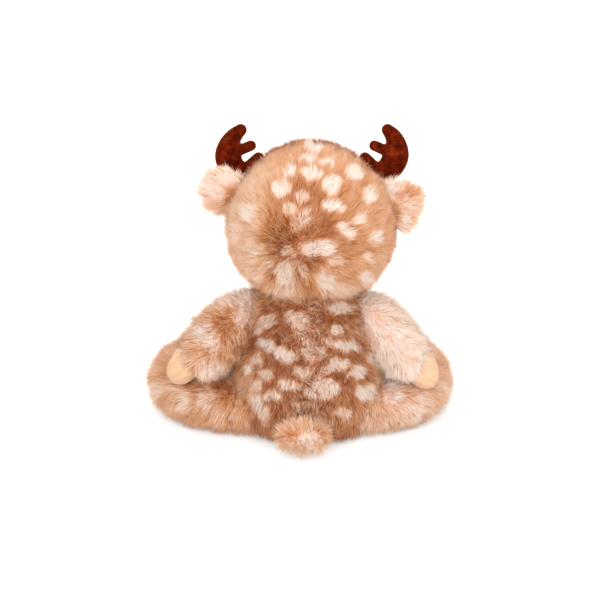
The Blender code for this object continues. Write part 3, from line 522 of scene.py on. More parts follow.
SPOTS = {
    "head": (
        (314, 144, 10, 4, 93, 10, 5), (309, 156, 9, 4, 90, 10, 5), (328, 160, 8, 3.5, 90, 10, 5),
        (289, 169, 8, 6, 93, 10, -25), (312, 171, 11, 6, 95, 10, 8), (356, 171, 10, 6, 95, 10, 30),
        (280, 186, 10, 8, 98, 10, -15), (333, 183, 9, 9, 98, 10, 15), (302, 196, 7, 6, 88, 9, 10),
        (372, 193, 8, 7, 95, 10, 35), (334, 204, 12, 6, 97, 10, 15), (289, 207, 8, 6, 84, 9),
        (306, 217, 8, 9, 88, 10, 35), (245, 211, 8, 8, 94, 10), (361, 217, 6, 8, 90, 10, 40),
        (348, 229, 11, 6, 95, 10, 35), (377, 237, 6, 8, 95, 10, 10), (318, 248, 19, 9, 100, 10, -5),
        (371, 258, 5, 6, 86, 8), (288, 252, 8, 5, 80, 8, 10), (251, 248, 9, 7, 86, 6),
        (284, 274, 9, 12, 91, 9, 10), (305, 274, 5, 8, 92, 8, -10), (338, 262, 8, 6, 84, 8),
        (328, 283, 10, 9, 90, 9), (368, 279, 7, 8, 92, 9, 20), (232, 231, 8, 9, 88, 6),
        (294, 222, 5, 9, 76, 6),
    ),
    "body": (
        # Spots low on the left flank, at (256, 333), (256, 361), (246, 370), (265, 376) and (256, 388), and
        # the one at (375, 362) take lower, warmer tones than the other spots: painted shade where the flanks
        # turn from the light
        (342, 309, 14, 6, 100, 10, 5), (297, 321, 13, 8, 95, 10, 20), (266, 322, 11, 6, 86, 10, -25),
        (256, 333, 5, 4, 76, 10), (337, 332, 7, 5, 90, 10), (266, 347, 11, 6, 96, 10, 25),
        (284, 356, 13, 7, 97, 10, 20), (347, 347, 15, 5.5, 97, 10, 10), (315, 354, 11, 8, 84, 8),
        (256, 361, 7, 5, 80, 10, 30), (246, 370, 5, 6, 78, 10, 30), (337, 366, 14, 5.5, 96, 10, -15),
        (359, 374, 9, 7, 97, 10, -25), (265, 376, 9, 5, 86, 10, 20), (302, 373, 8, 6, 90, 8),
        (256, 388, 5, 5, 76, 10, 20), (289, 387, 11, 6, 92, 9, 15), (327, 389, 14, 9, 100, 10, 25),
        (314, 396, 10, 5, 88, 8, 20), (272, 398, 9, 5, 92, 9, 15), (367, 394, 11, 8, 94, 10, -15),
        (375, 362, 5, 8, 80, 9, -20), (346, 415, 9, 5, 86, 8, 15), (300, 406, 9, 4, 74, 7),
        (329, 344, 5, 4, 80, 8),
    ),
}

# Tone where the picture shows the part, tone where it doesn't, number of strewn spots, and seed
BASE_TONES = {
    "head": (0.38, 0.52, 26, 11),
    "body": (0.15, 0.52, 16, 21),
    "left_arm": (0.56, 0.60, 5, 31),
    "right_arm": (0.94, 0.60, 5, 31),
    "left_leg": (0.40, 0.56, 8, 41),
    "right_leg": (0.64, 0.56, 8, 41),
    "left_ear": (0.74, 0.58, 0, 51),
    "right_ear": (0.72, 0.58, 0, 51),
    "tail": (0.56, 0.62, 0, 61),
}
CREAM_TONE = 0.93
BELLY_EDGES = (0.010, 0.045)
BELLY_STRENGTH = 0.95

# Shares of its size within which a painted place is full, and past which it is nil
TINT_EDGES = (0.45, 1.45)
SPOT_EDGES = (0.78, 1.28)
SPOT_SIZE = 0.0075
SPOT_RANGE = (0.7, 1.3)
SEEN_EDGES = (-0.25, 0.15)
# Strength and length of the waves in a coat's tone, and of those that shift painted places, in pixels
MOTTLE_WAVES = ((0.05, 0.022), (0.03, 0.009))
SHIFT_WAVES = ((1.6, 13), (0.8, 5))


def painted(tones, across, down, places, edges):
    """Tones after brushes at places in the picture."""
    grain = np.stack([across, down, 0 * across], 1)
    across = with_waves(across, grain, SHIFT_WAVES, 3)
    down = with_waves(down, grain, SHIFT_WAVES, 5)
    for u, v, half_width, half_height, tone, strength, *turn in places:
        c, s = cos(radians(sum(turn))), sin(radians(sum(turn)))
        x, y = across - u, down - v
        reach = ((x * c + y * s) / half_width) ** 2 + ((y * c - x * s) / half_height) ** 2
        tones += (tone / 100 - tones) * (strength / 10) * (1 - blend_step(reach**0.5, *edges))
    return tones


def scattered(points, tones, surface, count, seed):
    """Tones with soft round spots strewn over the surface."""
    rng = np.random.default_rng(seed)
    for centre in surface["points"][rng.integers(0, len(surface["points"]) - 2, count)]:
        own = SPOT_SIZE * rng.uniform(*SPOT_RANGE)
        reach = ((points - centre) ** 2).sum(axis=1) ** 0.5 / own
        tones += (CREAM_TONE - tones) * (1 - blend_step(reach, *SPOT_EDGES))
    return tones


def tone_field(name, surface):
    """A function for tones, from the picture where it shows the surface and strewn with spots elsewhere."""
    seen_base, unseen_base, strewn, seed = BASE_TONES[name]

    def tones_at(points, normals):
        across, down = photo_places(points)
        seen = blend_step(normals @ TOWARDS_CAMERA, *SEEN_EDGES)
        mottle = with_waves(0, points, MOTTLE_WAVES, seed)
        tones = painted(seen_base + mottle, across, down, TINTS_AND_PAINTED_SHADE[name], TINT_EDGES)
        tones = painted(tones, across, down, SPOTS.get(name, ()), SPOT_EDGES)
        hidden = scattered(points, unseen_base + mottle, surface, strewn, seed)
        return hidden + (tones - hidden) * seen

    return tones_at


# Fur of flat tapering strands, with shares for each point of a strand
STRAND_SHARES = (0.0, 0.38, 0.72, 1.0)
CLUMP_SHARES = (0.0, 0.18, 0.55, 0.95)
WIDTH_SHARES = (0.85, 1.0, 0.62)
TONE_SHARES = np.array((0.0, 0.42, 0.78, 1.0))
ROOT_DEPTH = 0.0012
FLOOR_GAP = 0.0006
BACKING_FLOOR = 0.0015
MOST_STRANDS = 39000
BLADE_POINTS = 7
BLADE_CORNERS = np.array((0, 1, 3, 2, 2, 3, 5, 4, 4, 5, 6))
BLADE_FACES = (4, 4, 3)

# How strands vary: waves by strength and length, and ranges
SWIRL_LENGTH = 0.016
LENGTH_RANGE = (0.72, 1.12)
LENGTH_WAVES = ((0.12, 0.012),)
LEAN_WAVES = ((0.14, 0.014),)
LEAN_SPREAD = 0.16
LEAN_LIMITS = (0.05, 1.35)
UPRIGHT_LEAN = 0.3
CLUMP_PULL = (0.25, 0.9)
WIDTH_RANGE = (0.7, 1.3)
# What full frizz takes from comb and lean, and what it adds to swirl, stray and speckle
FRIZZ = dict(comb=0.7, lean=0.45, swirl=0.6, stray=0.5, speckle=3.0)

# Which way blades face, and how far their shading follows it
TWIST = 0.40
FRONT_PULL = 0.8
BACKWARD_BIAS = 0.15
TURNING_SOFTNESS = 0.2
BLADE_SHADING = 0.22
CLUMP_SHADING = 0.12

# Tones along a strand, with painted shade towards the root, and their places in the colour map
FROST_RANGE = (-0.2, 1.0)
# The next value lowers each strand's tone towards its root as painted shade; pale strands take less of it
ROOT_SHADE_DROP = 0.31
PALE_ROOTS = 0.8
PALE_EDGES = (0.78, 0.95)
# The backing is lower in tone and takes the strands' shade partway up: painted shade under the pile
BACKING_SHADE_DROP = 0.08
BACKING_SHADE_PLACE = 0.55
MAP_LIMITS = (0.01, 0.99)
MAP_MARGIN = 0.004
COLOUR_MAP = "OFBake"


def mesh_object(name, points, loops, sizes, uvs=None, normals=None, material=None):
    mesh = bpy.data.meshes.new(name)
    mesh.vertices.add(len(points))
    mesh.vertices.foreach_set("co", np.ascontiguousarray(points, np.float32).ravel())
    mesh.loops.add(len(loops))
    mesh.loops.foreach_set("vertex_index", loops.astype(np.int32))
    mesh.polygons.add(len(sizes))
    starts = np.concatenate([[0], np.cumsum(sizes)[:-1]]).astype(np.int32)
    mesh.polygons.foreach_set("loop_start", starts)
    mesh.polygons.foreach_set("use_smooth", np.ones(len(sizes), bool))
    if uvs is not None:
        layer = mesh.uv_layers.new(name=COLOUR_MAP)
        layer.uv.foreach_set("vector", np.ascontiguousarray(uvs[loops], np.float32).ravel())
    mesh.update(calc_edges=True)
    if normals is not None:
        mesh.normals_split_custom_set_from_vertices(normals.astype(np.float32))
    made = bpy.data.objects.new(name, mesh)
    bpy.context.scene.collection.objects.link(made)
    if material:
        mesh.materials.append(material)
    return made


def surface_object(name, surface, material, tones=None):
    triangles = surface["triangles"]
    uvs = None
    if tones is not None:
        # The backing sits partway along the strands' painted shade
        uvs = np.stack([np.clip(tones, *MAP_LIMITS), np.full(len(tones), BACKING_SHADE_PLACE)], 1)
    sizes = np.full(len(triangles), 3)
    return mesh_object(name, surface["points"], triangles.ravel(), sizes, uvs, None, materials[material])


def attach(made, body, slot, *nodes, fill=None):
    """Makes the object move with the body, and hides the nodes that it takes the place of; its slot and fill
    are not used.
    """
    if nodes:
        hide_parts(*nodes)
    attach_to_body(made, body)


SOFT_FILL = 0.7


def piece(name, body, surface, material, *nodes, slot=None, fill=None, tones=None):
    attach(surface_object(name, surface, material, tones), body, slot or material, *nodes, fill=fill)


def face_areas(surface):
    return np.linalg.norm(face_crosses(surface["points"], surface["triangles"]), axis=1) / 2


def sampled(surface, count, rng):
    """Random places on the surface, evenly by area, with their normals."""
    areas = face_areas(surface)
    chosen = surface["triangles"][rng.choice(len(areas), count, p=areas / areas.sum())]
    a, b = rng.random((2, count))
    over = a + b > 1
    a[over], b[over] = 1 - a[over], 1 - b[over]
    weights = np.stack([1 - a - b, a, b], 1)[:, :, None]
    roots, normals = ((surface[key][chosen] * weights).sum(axis=1) for key in ("points", "normals"))
    return roots, unit(normals)


def strand_lines(roots, normals, coat, frizz, rng, seed):
    """Four points of each strand, which leans along its comb and bends on towards its tip."""
    count = len(roots)
    wander = np.stack([waves(roots, SWIRL_LENGTH, seed + axis) for axis in range(3)], 1)
    combs = coat["comb"](roots) * (1 - FRIZZ["comb"] * frizz)[:, None]
    combs = combs + (coat["swirl"] + FRIZZ["swirl"] * frizz)[:, None] * wander
    combs = combs + (coat["stray"] + FRIZZ["stray"] * frizz)[:, None] * rng.normal(size=(count, 3))
    combs = unit(combs - normals * (combs * normals).sum(axis=1, keepdims=True))
    lengths = coat["length"] * rng.uniform(*LENGTH_RANGE, count)
    lengths = lengths * with_waves(1, roots, LENGTH_WAVES, seed + 5) * coat["growth"](roots)
    leans = with_waves(coat["lean"] * (1 - FRIZZ["lean"] * frizz), roots, LEAN_WAVES, seed + 6)
    leans = np.clip(leans + LEAN_SPREAD * rng.normal(size=count), *LEAN_LIMITS)
    leans[rng.random(count) < coat["upright"]] *= UPRIGHT_LEAN
    lines = [roots - normals * ROOT_DEPTH]
    for i in range(3):
        turn = (leans + coat["bend"] * (i - 0.5))[:, None]
        direction = unit(normals * np.cos(turn) + combs * np.sin(turn))
        step = lengths * (STRAND_SHARES[i + 1] - STRAND_SHARES[i])
        lines.append(lines[-1] + direction * step[:, None])
    return np.stack(lines, 1)


def gather(lines, roots, coat, rng):
    """Draws strands together towards their tips, and returns the leading strand of each."""
    count = len(roots)
    chosen = rng.choice(count, max(1, count // coat["per_clump"]), replace=False)
    tree = KDTree(len(chosen))
    for place, index in enumerate(chosen):
        tree.insert(roots[index], place)
    tree.balance()
    leaders = chosen[np.fromiter((tree.find(root)[1] for root in roots), int, count)]
    pull = rng.uniform(*CLUMP_PULL, count) * coat["clump"]
    for i, share in enumerate(CLUMP_SHARES):
        lines[:, i] += (lines[leaders, i] - lines[:, i]) * (pull * share)[:, None]
    above(lines, FLOOR_GAP)
    return leaders


def blades(lines, normals, coat, rng):
    """The points of each strand's blade, and the way that its widest part faces."""
    tangents = unit(np.gradient(lines, axis=1))
    facing = normals + TWIST * rng.normal(size=normals.shape)
    # Strands that stand up turn their fronts up, and back or forward with the side that they grow on
    standing = (tangents * normals[:, None]).sum(axis=2, keepdims=True) ** 2
    open_side = Z_AXIS + np.tanh((normals[:, 1:2] + BACKWARD_BIAS) / TURNING_SOFTNESS) * Y_AXIS
    facing = facing[:, None] + FRONT_PULL * standing * open_side[:, None]
    fronts = unit(facing - tangents * (facing * tangents).sum(axis=2, keepdims=True))
    across = np.cross(tangents, fronts)
    halves = coat["width"] / 2 * rng.uniform(*WIDTH_RANGE, len(lines))
    points = []
    for i, share in enumerate(WIDTH_SHARES):
        shift = across[:, i] * (halves * share)[:, None]
        points += [lines[:, i] - shift, lines[:, i] + shift]
    return above(np.stack([*points, lines[:, 3]], 1), FLOOR_GAP), fronts[:, 1]


def blade_uvs(tones, leaders, coat, frizz, rng):
    """Each blade's places in the colour map, lowered at the root as painted shade and paler towards the tip.
    """
    count = len(tones)
    speckle = coat["speckle"] * (1 + FRIZZ["speckle"] * frizz)
    clump_tones = speckle * rng.normal(size=count)
    tones = tones + clump_tones[leaders] + speckle * rng.normal(size=count)
    frost = coat["frost"] * rng.uniform(*FROST_RANGE, count)
    root_shade = ROOT_SHADE_DROP * (1 - PALE_ROOTS * blend_step(tones, *PALE_EDGES))
    u = tones[:, None] + np.outer(frost, TONE_SHARES) - np.outer(root_shade, (1 - TONE_SHARES) ** 2)
    u = np.clip(u, *MAP_LIMITS)
    uvs = []
    for i in range(3):
        for side in (-MAP_MARGIN, MAP_MARGIN):
            uvs.append(np.stack([u[:, i] + side, np.full(count, TONE_SHARES[i])], 1))
    uvs.append(np.stack([u[:, 3], np.ones(count)], 1))
    return np.stack(uvs, 1)


def grow_fur(name, body, surface, coat, tones_at, hidden_at, seed):
    """Strands over the surface where nothing hides it, in pieces that move with the body."""
    rng = np.random.default_rng(seed)
    count = int(face_areas(surface).sum() * 1e6 * coat["density"])
    roots, normals = sampled(surface, count, rng)
    keep = ~hidden_at(roots)
    roots, normals = roots[keep], normals[keep]
    frizz = coat["frizz"](roots)
    lines = strand_lines(roots, normals, coat, frizz, rng, seed)
    leaders = gather(lines, roots, coat, rng)
    points, fronts = blades(lines, normals, coat, rng)
    spread = unit(roots - roots[leaders] + 1e-7)
    shading = unit(normals + BLADE_SHADING * fronts + CLUMP_SHADING * spread)
    tones = tones_at(lines[:, 2] * 0.5 + lines[:, 3] * 0.5, normals)
    uvs = blade_uvs(tones, leaders, coat, frizz, rng)

    turns = np.arctan2(roots[:, 0] - roots[:, 0].mean(), roots[:, 2] - roots[:, 2].mean())
    pieces = np.array_split(np.argsort(turns), -(-len(roots) // MOST_STRANDS))
    for number, chosen in enumerate(pieces, 1):
        size = len(chosen)
        made = mesh_object(
            name + "_" + str(number),
            points[chosen].reshape(-1, 3),
            (np.arange(size)[:, None] * BLADE_POINTS + BLADE_CORNERS).ravel(),
            np.tile(BLADE_FACES, size),
            uvs[chosen].reshape(-1, 2),
            np.repeat(shading[chosen], BLADE_POINTS, axis=0),
            materials["spotted_fur"],
        )
        attach(made, body, coat["slot"])


# Materials
def new_material(name):
    material = bpy.data.materials.new(name)
    material.use_nodes = True
    nodes = material.node_tree.nodes
    return material, nodes, nodes["Principled BSDF"]


def set_inputs(node, values):
    for socket, value in values.items():
        node.inputs[socket].default_value = value


def wire(source, output, target, socket):
    target.id_data.links.new(source.outputs[output], target.inputs[socket])


def math_node(nodes, operation, value=None):
    node = nodes.new("ShaderNodeMath")
    node.operation = operation
    if value is not None:
        node.inputs[1].default_value = value
    return node


def ramp(nodes, rows):
    node = nodes.new("ShaderNodeValToRGB")
    elements = node.color_ramp.elements
    elements.remove(elements[1])
    elements[0].position, elements[0].color = rows[0][0], linear(rows[0][1])
    for position, code in rows[1:]:
        elements.new(position).color = linear(code)
    return node


# Sockets of a mix node that are for colours
COLOUR_A = 6
COLOUR_B = 7
COLOUR_RESULT = 2


def colour_mix(nodes, way, inputs):
    node = nodes.new("ShaderNodeMix")
    node.data_type = "RGBA"
    node.blend_type = way
    set_inputs(node, inputs)
    return node


def map_range(nodes, inputs):
    node = nodes.new("ShaderNodeMapRange")
    set_inputs(node, inputs)
    return node


def fur_material():
    """Tone runs across the map, and a strand runs up it from root to tip, darkened towards the root as
    painted shade.
    """
    material, nodes, shader = new_material("spotted_fur")
    place = nodes.new("ShaderNodeUVMap")
    place.uv_map = COLOUR_MAP
    parts = nodes.new("ShaderNodeSeparateXYZ")
    # The second ramp is painted shade towards each root
    tone, depth = ramp(nodes, TONES), ramp(nodes, PAINTED_ROOT_SHADE)
    shade = colour_mix(nodes, "MULTIPLY", {0: 1.0})
    tip = colour_mix(nodes, "MIX", {COLOUR_B: linear(TIP_COLOUR)})
    reach = map_range(nodes, {"From Min": TIP_START, "To Max": TIP_STRENGTH})
    wire(place, "UV", parts, "Vector")
    wire(parts, "X", tone, "Fac")
    wire(parts, "Y", depth, "Fac")
    wire(parts, "Y", reach, "Value")
    wire(tone, "Color", shade, COLOUR_A)
    wire(depth, "Color", shade, COLOUR_B)
    wire(shade, COLOUR_RESULT, tip, COLOUR_A)
    wire(reach, "Result", tip, 0)
    wire(tip, COLOUR_RESULT, shader, "Base Color")
    set_inputs(shader, {"Roughness": 0.70, "Specular IOR Level": 0.20, "Sheen Weight": 0.55})
    set_inputs(shader, {"Sheen Roughness": 0.5, "Sheen Tint": linear(SHEEN_COLOUR)})
    return material


# Mottled materials: colours, scale, roughness, bump and grain scale, then sheen, its tint and gloss
MOTTLED = {
    "velour": (
        ((0.30, "320802"), (0.46, "4E1104"), (0.60, "661C07"), (0.76, "8A3812")),
        130, 0.90, 0.9, 1100, 0.90, "D88050", 0.02,
    ),
    "suede": (
        ((0.30, "CFA684"), (0.50, "DAB393"), (0.70, "E2C0A2")), 60, 0.85, 0.35, 2600, 0.25, "FFF0D8",
    ),
    "dark_bead": (((0.3, "120A07"), (0.7, "23140D")), 60, 0.12, 0.02, 300),
    "nose_plastic": (((0.3, "2A1712"), (0.7, "3D241C")), 90, 0.32, 0.12, 900),
    "ear_lining": (((0.3, "F0D2C0"), (0.7, "F7E2D4")), 90, 0.9, 0.5, 1800, 0.2, "FFF0E4"),
    "fibre": (((0.3, "E4E2DC"), (0.7, "F4F3EF")), 90, 0.95, 0.8, 900),
    "pellet_cloth": (((0.3, "CFCBBE"), (0.7, "E2DFD4")), 200, 0.9, 0.8, 1600),
    "washer_plastic": (((0.3, "D4D4CF"), (0.7, "E4E4E0")), 40, 0.45, 0.1, 500),
    "thread": (((0.3, "B08A58"), (0.7, "C49E6A")), 300, 0.8, 0.5, 3000),
}
GRAIN_SHARE = 0.28
GRAIN_HEIGHT = 0.0006


def mottled_material(name, colours, scale, roughness, bump, fine_scale, sheen=0.0, tint="FFFFFF", gloss=0.3):
    """Patches of colour from broad noise, and a fine grain that is raised as well."""
    material, nodes, shader = new_material(name)
    place = nodes.new("ShaderNodeTexCoord")
    broad, fine = nodes.new("ShaderNodeTexNoise"), nodes.new("ShaderNodeTexNoise")
    set_inputs(broad, {"Scale": scale, "Detail": 5.0, "Roughness": 0.62})
    set_inputs(fine, {"Scale": fine_scale, "Detail": 3.0})
    both = math_node(nodes, "MULTIPLY_ADD", GRAIN_SHARE)
    shifted = math_node(nodes, "SUBTRACT", GRAIN_SHARE / 2)
    colour = ramp(nodes, colours)
    raised = nodes.new("ShaderNodeBump")
    set_inputs(raised, {"Strength": bump, "Distance": GRAIN_HEIGHT})
    wire(place, "Object", broad, "Vector")
    wire(place, "Object", fine, "Vector")
    wire(fine, "Fac", both, 0)
    wire(broad, "Fac", both, 2)
    wire(both, "Value", shifted, 0)
    wire(shifted, "Value", colour, "Fac")
    wire(colour, "Color", shader, "Base Color")
    wire(fine, "Fac", raised, "Height")
    wire(raised, "Normal", shader, "Normal")
    set_inputs(shader, {"Roughness": roughness, "Specular IOR Level": gloss, "Sheen Weight": sheen})
    set_inputs(shader, {"Sheen Roughness": 0.35, "Sheen Tint": linear(tint)})
    return material


# Camera, stage and lights
def place_looking(name, data, place, towards):
    made = bpy.data.objects.new(name, data)
    made.location = Vector(place)
    made.rotation_mode = "QUATERNION"
    made.rotation_quaternion = towards.to_track_quat("-Z", "Y")
    bpy.context.scene.collection.objects.link(made)
    return made


def make_camera():
    camera = bpy.data.cameras.new("camera")
    camera.angle = 2 * atan(VIEW_WIDTH / 2 / CAMERA_DISTANCE)
    place = CAMERA_TARGET + TOWARDS_CAMERA * CAMERA_DISTANCE
    bpy.context.scene.camera = place_looking("camera", camera, place, Vector(-TOWARDS_CAMERA))


def seen_directly(nodes):
    """A node that gives 1 for rays from the camera, and for those that gloss and glass send on."""
    path = nodes.new("ShaderNodeLightPath")
    total, more = math_node(nodes, "MAXIMUM"), math_node(nodes, "MAXIMUM")
    wire(path, "Is Camera Ray", total, 0)
    wire(path, "Is Glossy Ray", total, 1)
    wire(total, "Value", more, 0)
    wire(path, "Is Transmission Ray", more, 1)
    return more


FLOOR_SIDE = 14.0
FLOOR_GREY = (0.86, 0.86, 0.86, 1.0)
FLOOR_GLOW = 0.42
WORLD_LIGHT = 0.80
ROOM_COLOUR = "FFF8F0"
WHITE = (1.0, 1.0, 1.0, 1.0)


def make_floor():
    half = FLOOR_SIDE / 2
    corners = np.array(((-half, -half, 0), (half, -half, 0), (half, half, 0), (-half, half, 0)), float)
    material, nodes, shader = new_material("floor")
    floor = mesh_object("floor", corners, np.arange(4), np.array([4]), material=material)
    set_inputs(shader, {"Base Color": FLOOR_GREY, "Roughness": 1.0, "Specular IOR Level": 0.0})
    set_inputs(shader, {"Emission Color": WHITE})
    glow = math_node(nodes, "MULTIPLY", FLOOR_GLOW)
    wire(seen_directly(nodes), "Value", glow, 0)
    wire(glow, "Value", shader, "Emission Strength")


def make_world():
    world = bpy.data.worlds.new("studio")
    bpy.context.scene.world = world
    world.use_nodes = True
    nodes = world.node_tree.nodes
    colour = colour_mix(nodes, "MIX", {COLOUR_A: linear(ROOM_COLOUR), COLOUR_B: WHITE})
    strength = map_range(nodes, {"To Min": WORLD_LIGHT, "To Max": 1.0})
    wire(seen_directly(nodes), "Value", colour, 0)
    wire(seen_directly(nodes), "Value", strength, "Value")
    wire(colour, COLOUR_RESULT, nodes["Background"], "Color")
    wire(strength, "Result", nodes["Background"], "Strength")


# Lamps: name, place, size across and power
LAMPS = (
    ("key_lamp", (0.35, 1.60, 1.00), 0.9, 14.5),
    ("fill_lamp", (-0.60, 1.55, 0.80), 0.9, 10.5),
    ("top_lamp", (0.0, -0.2, 1.9), 1.4, 8.0),
    ("front_lamp", (0.4, -1.7, 0.9), 1.4, 8.0),
)


def make_lamps():
    for name, place, size, power in LAMPS:
        lamp = bpy.data.lights.new(name, "AREA")
        lamp.size = size
        lamp.energy = power
        place_looking(name, lamp, place, Vector(CAMERA_TARGET) - Vector(place))


# Combs give the way that fur lies, from directions with these weights
FACE_DOWN = 0.3
BODY_INWARD, BODY_DOWN = 0.6, 0.9
ARM_OUTWARD, ARM_ALONG, ARM_DOWN = 0.55, 0.75, 0.15
LEG_OUTWARD, LEG_AWAY, LEG_DOWN = 0.5, 0.35, 0.60
EAR_ALONG = 0.4
FACE_EDGES = (-0.035, 0.020)
LEG_MIDDLE_SHARE = 0.38
LEG_MIDDLE_HEIGHT = 0.036
EAR_COMB_BEHIND = 0.010


def comb_from(centre):
    return lambda points: unit(points - centre)


def head_comb(points):
    """Away from the whorl behind, and away from the muzzle in front."""
    behind = blend_step(points[:, 1], *FACE_EDGES)[:, None]
    front = unit(points - MUZZLE_CENTRE) - FACE_DOWN * Z_AXIS
    return unit(front + (unit(points - WHORL) - front) * behind)


def body_comb(points):
    """Down and towards the spine."""
    inward = -np.tanh(points[:, :1] / SPINE_HALF_WIDTH) * X_AXIS
    return BODY_INWARD * inward - BODY_DOWN * Z_AXIS


def arm_comb(side):
    """Along the arm, and a little outward from its middle line."""
    start, full = arm_line(side)

    def comb(points):
        along = np.clip((points - start) @ full / (full @ full), 0, 0.9)
        outward = unit(points - (start + along[:, None] * full)) * xyz(1.0, 0.2, 1.0)
        return ARM_OUTWARD * outward + ARM_ALONG * unit(full) - ARM_DOWN * Z_AXIS

    return comb


def leg_comb(side):
    """Away from the body and down, and a little outward from the leg's middle."""
    sign = SIDES[side]
    middle = xyz(sign * (HIP_OUT + LEG_REACH[side] * LEG_MIDDLE_SHARE), 0.0, LEG_MIDDLE_HEIGHT)
    away = xyz(sign * LEG_AWAY, 0.0, -LEG_DOWN)
    return lambda points: LEG_OUTWARD * unit((points - middle) * xyz(1.0, 0.3, 1.0)) + away


def ear_comb(side):
    root, outward = ear_axes(side)
    return lambda points: unit(points - (root - outward * EAR_COMB_BEHIND)) + EAR_ALONG * outward


# Frizz and growth over a coat
FRINGE_GROWTH = 0.45
FRINGE_DROP = (0.030, 0.060)
FRINGE_BEHIND = (-0.02, 0.03)
FRINGE_WAVES = ((0.5, 0.020),)
WHORL = xyz(0.020, 0.058, 0.163)
WHORL_SIZE = xyz(0.016, 0.030, 0.024)
SPINE = xyz(-0.002, 0.065, 0.075)
SPINE_SIZE = xyz(0.015, 0.060, 0.075)
SPINE_HALF_WIDTH = 0.012


def calm(points):
    return np.zeros(len(points))


def even(points):
    return np.ones(len(points))


def frizz_near(centre, size):
    """1 at the centre, less with distance, where size sets how far it reaches along each axis."""
    return lambda points: np.exp(-(((points - centre) / size) ** 2).sum(axis=1))


def head_growth(points):
    """The fringe below the head is longer than the rest."""
    low = blend_step(HEAD_CENTRE[2] - points[:, 2], *FRINGE_DROP)
    ragged = with_waves(1, points, FRINGE_WAVES, 91)
    return 1 + FRINGE_GROWTH * ragged * low * blend_step(points[:, 1], *FRINGE_BEHIND)


# The common coat, with strands to the square millimetre, and what each part's coat has instead
COAT = dict(
    comb=None, rise=0.0095, density=1.9, length=0.0145, width=0.00031, lean=0.50, bend=0.25,
    swirl=0.35, stray=0.30, per_clump=11, clump=0.60, frost=0.18, speckle=0.06,
    upright=0.12, slot="spotted_fur", frizz=calm, growth=even,
)
COATS = {
    "head": dict(
        density=2.2, lean=0.60, stray=0.22, clump=0.42, frost=0.12, speckle=0.05,
        upright=0.15, comb=head_comb, frizz=frizz_near(WHORL, WHORL_SIZE), growth=head_growth,
    ),
    "body": dict(speckle=0.09, comb=body_comb, frizz=frizz_near(SPINE, SPINE_SIZE)),
    "left_arm": dict(rise=0.0085, length=0.0155, speckle=0.11),
    "right_arm": dict(
        rise=0.0085, length=0.0150, lean=0.72, stray=0.16, clump=0.25, frost=0.02,
        speckle=0.02,
    ),
    "leg": dict(rise=0.0085, length=0.0155, lean=0.52, speckle=0.08, frost=0.16),
    "ear": dict(rise=0.0034, length=0.0120, lean=0.85, density=2.4, frost=0.10),
    "tail": dict(
        rise=0.0115, length=0.0135, lean=0.42, swirl=0.7, stray=0.7, upright=0.25,
        comb=comb_from(TAIL_CENTRE + (0, 0.020, 0.008)),
    ),
    "muzzle": dict(
        rise=0.003, density=2.6, length=0.0050, width=0.00028, lean=0.75, bend=0.2,
        swirl=0.20, stray=0.25, per_clump=8, clump=0.2, frost=0.03, speckle=0.03,
        upright=0.0, slot="short_plush", comb=comb_from(MUZZLE_CENTRE + (0.0, -0.060, 0.010)),
    ),
}


def dress(name, body, node, outline, seed, tones_at=None, hidden_at=None, coat_name=None, comb=None):
    """A fabric backing drawn in from the outline, and the pile that grows on it."""
    coat = {**COAT, **COATS[coat_name or name]}
    coat["comb"] = comb or coat["comb"]
    tones_at = tones_at or tone_field(name, outline)
    surface = inset(outline, coat["rise"])
    # The backing's tone is lowered as painted shade under the pile
    tones = tones_at(surface["points"], surface["normals"]) - BACKING_SHADE_DROP
    piece(name + "_backing", body, surface, "spotted_fur", node, fill=SOFT_FILL, tones=tones)
    grow_fur(name + "_fur", body, surface, coat, tones_at, hidden_at or hidden_places(name), seed)


def make_coats():
    body = body_surface()
    back_tones = tone_field("body", body)

    def body_tones(points, normals):
        tones = back_tones(points, normals)
        belly = blend_step(-points[:, 1], *BELLY_EDGES)
        return tones + (CREAM_TONE - tones) * belly * BELLY_STRENGTH

    dress("head", "head", "head_skin", head_surface(), 1)
    dress("body", "torso", "body_skin", body, 2, body_tones)
    for number, side in enumerate(SIDES):
        arm = tube_surface(arm_path(side), ARM_SIDES, Z_AXIS)
        leg = tube_surface(leg_path(side), LEG_SIDES, Z_AXIS)
        for part, node, outline, coat_name, comb, seed in (
            ("arm", "arm_skin_", arm, side + "_arm", arm_comb, 3),
            ("leg", "leg_skin_", leg, "leg", leg_comb, 5),
            ("ear", "ear_", ear_surface(side), "ear", ear_comb, 7),
        ):
            name, hidden_at = side + "_" + part, hidden_places(part, (side,))
            dress(name, name, node + side, outline, seed + number, None, hidden_at, coat_name, comb(side))
    dress("tail", "tail", "tail_skin", ball_surface(TAIL_CENTRE, TAIL_HALF, 40, 20), 9)


# Antlers
ANTLER_FILL = 0.8
VOXEL_SIZE = 0.0009
SMOOTH_ROUNDS = 6
SMOOTH_FACTOR = 0.6


def antler_point(side, swell, height):
    sign = SIDES[side]
    root = HEAD_CENTRE + xyz(sign * ANTLER_OUT, -ANTLER_AHEAD, ANTLER_ROOT_RISE)
    out = swell + ANTLER_LEAN[side] * height**2
    return root + xyz(sign * ANTLER_SWELL * out, 0.0, ANTLER_HEIGHT * height)


def antler_surface(side):
    rows = []
    for swell, height, size in ANTLER_ROWS:
        radius = ANTLER_RADIUS * size
        rows.append((*antler_point(side, swell, height), radius, min(ANTLER_HALF_THICKNESS, radius)))
    surfaces = [tube_surface(rows, 32, Y_AXIS)]
    for root, tip, radius in TINES:
        ends = [(*antler_point(side, *place), radius, radius) for place in (root, tip)]
        surfaces.append(tube_surface(ends, 24, Y_AXIS))
    return merged(surfaces)


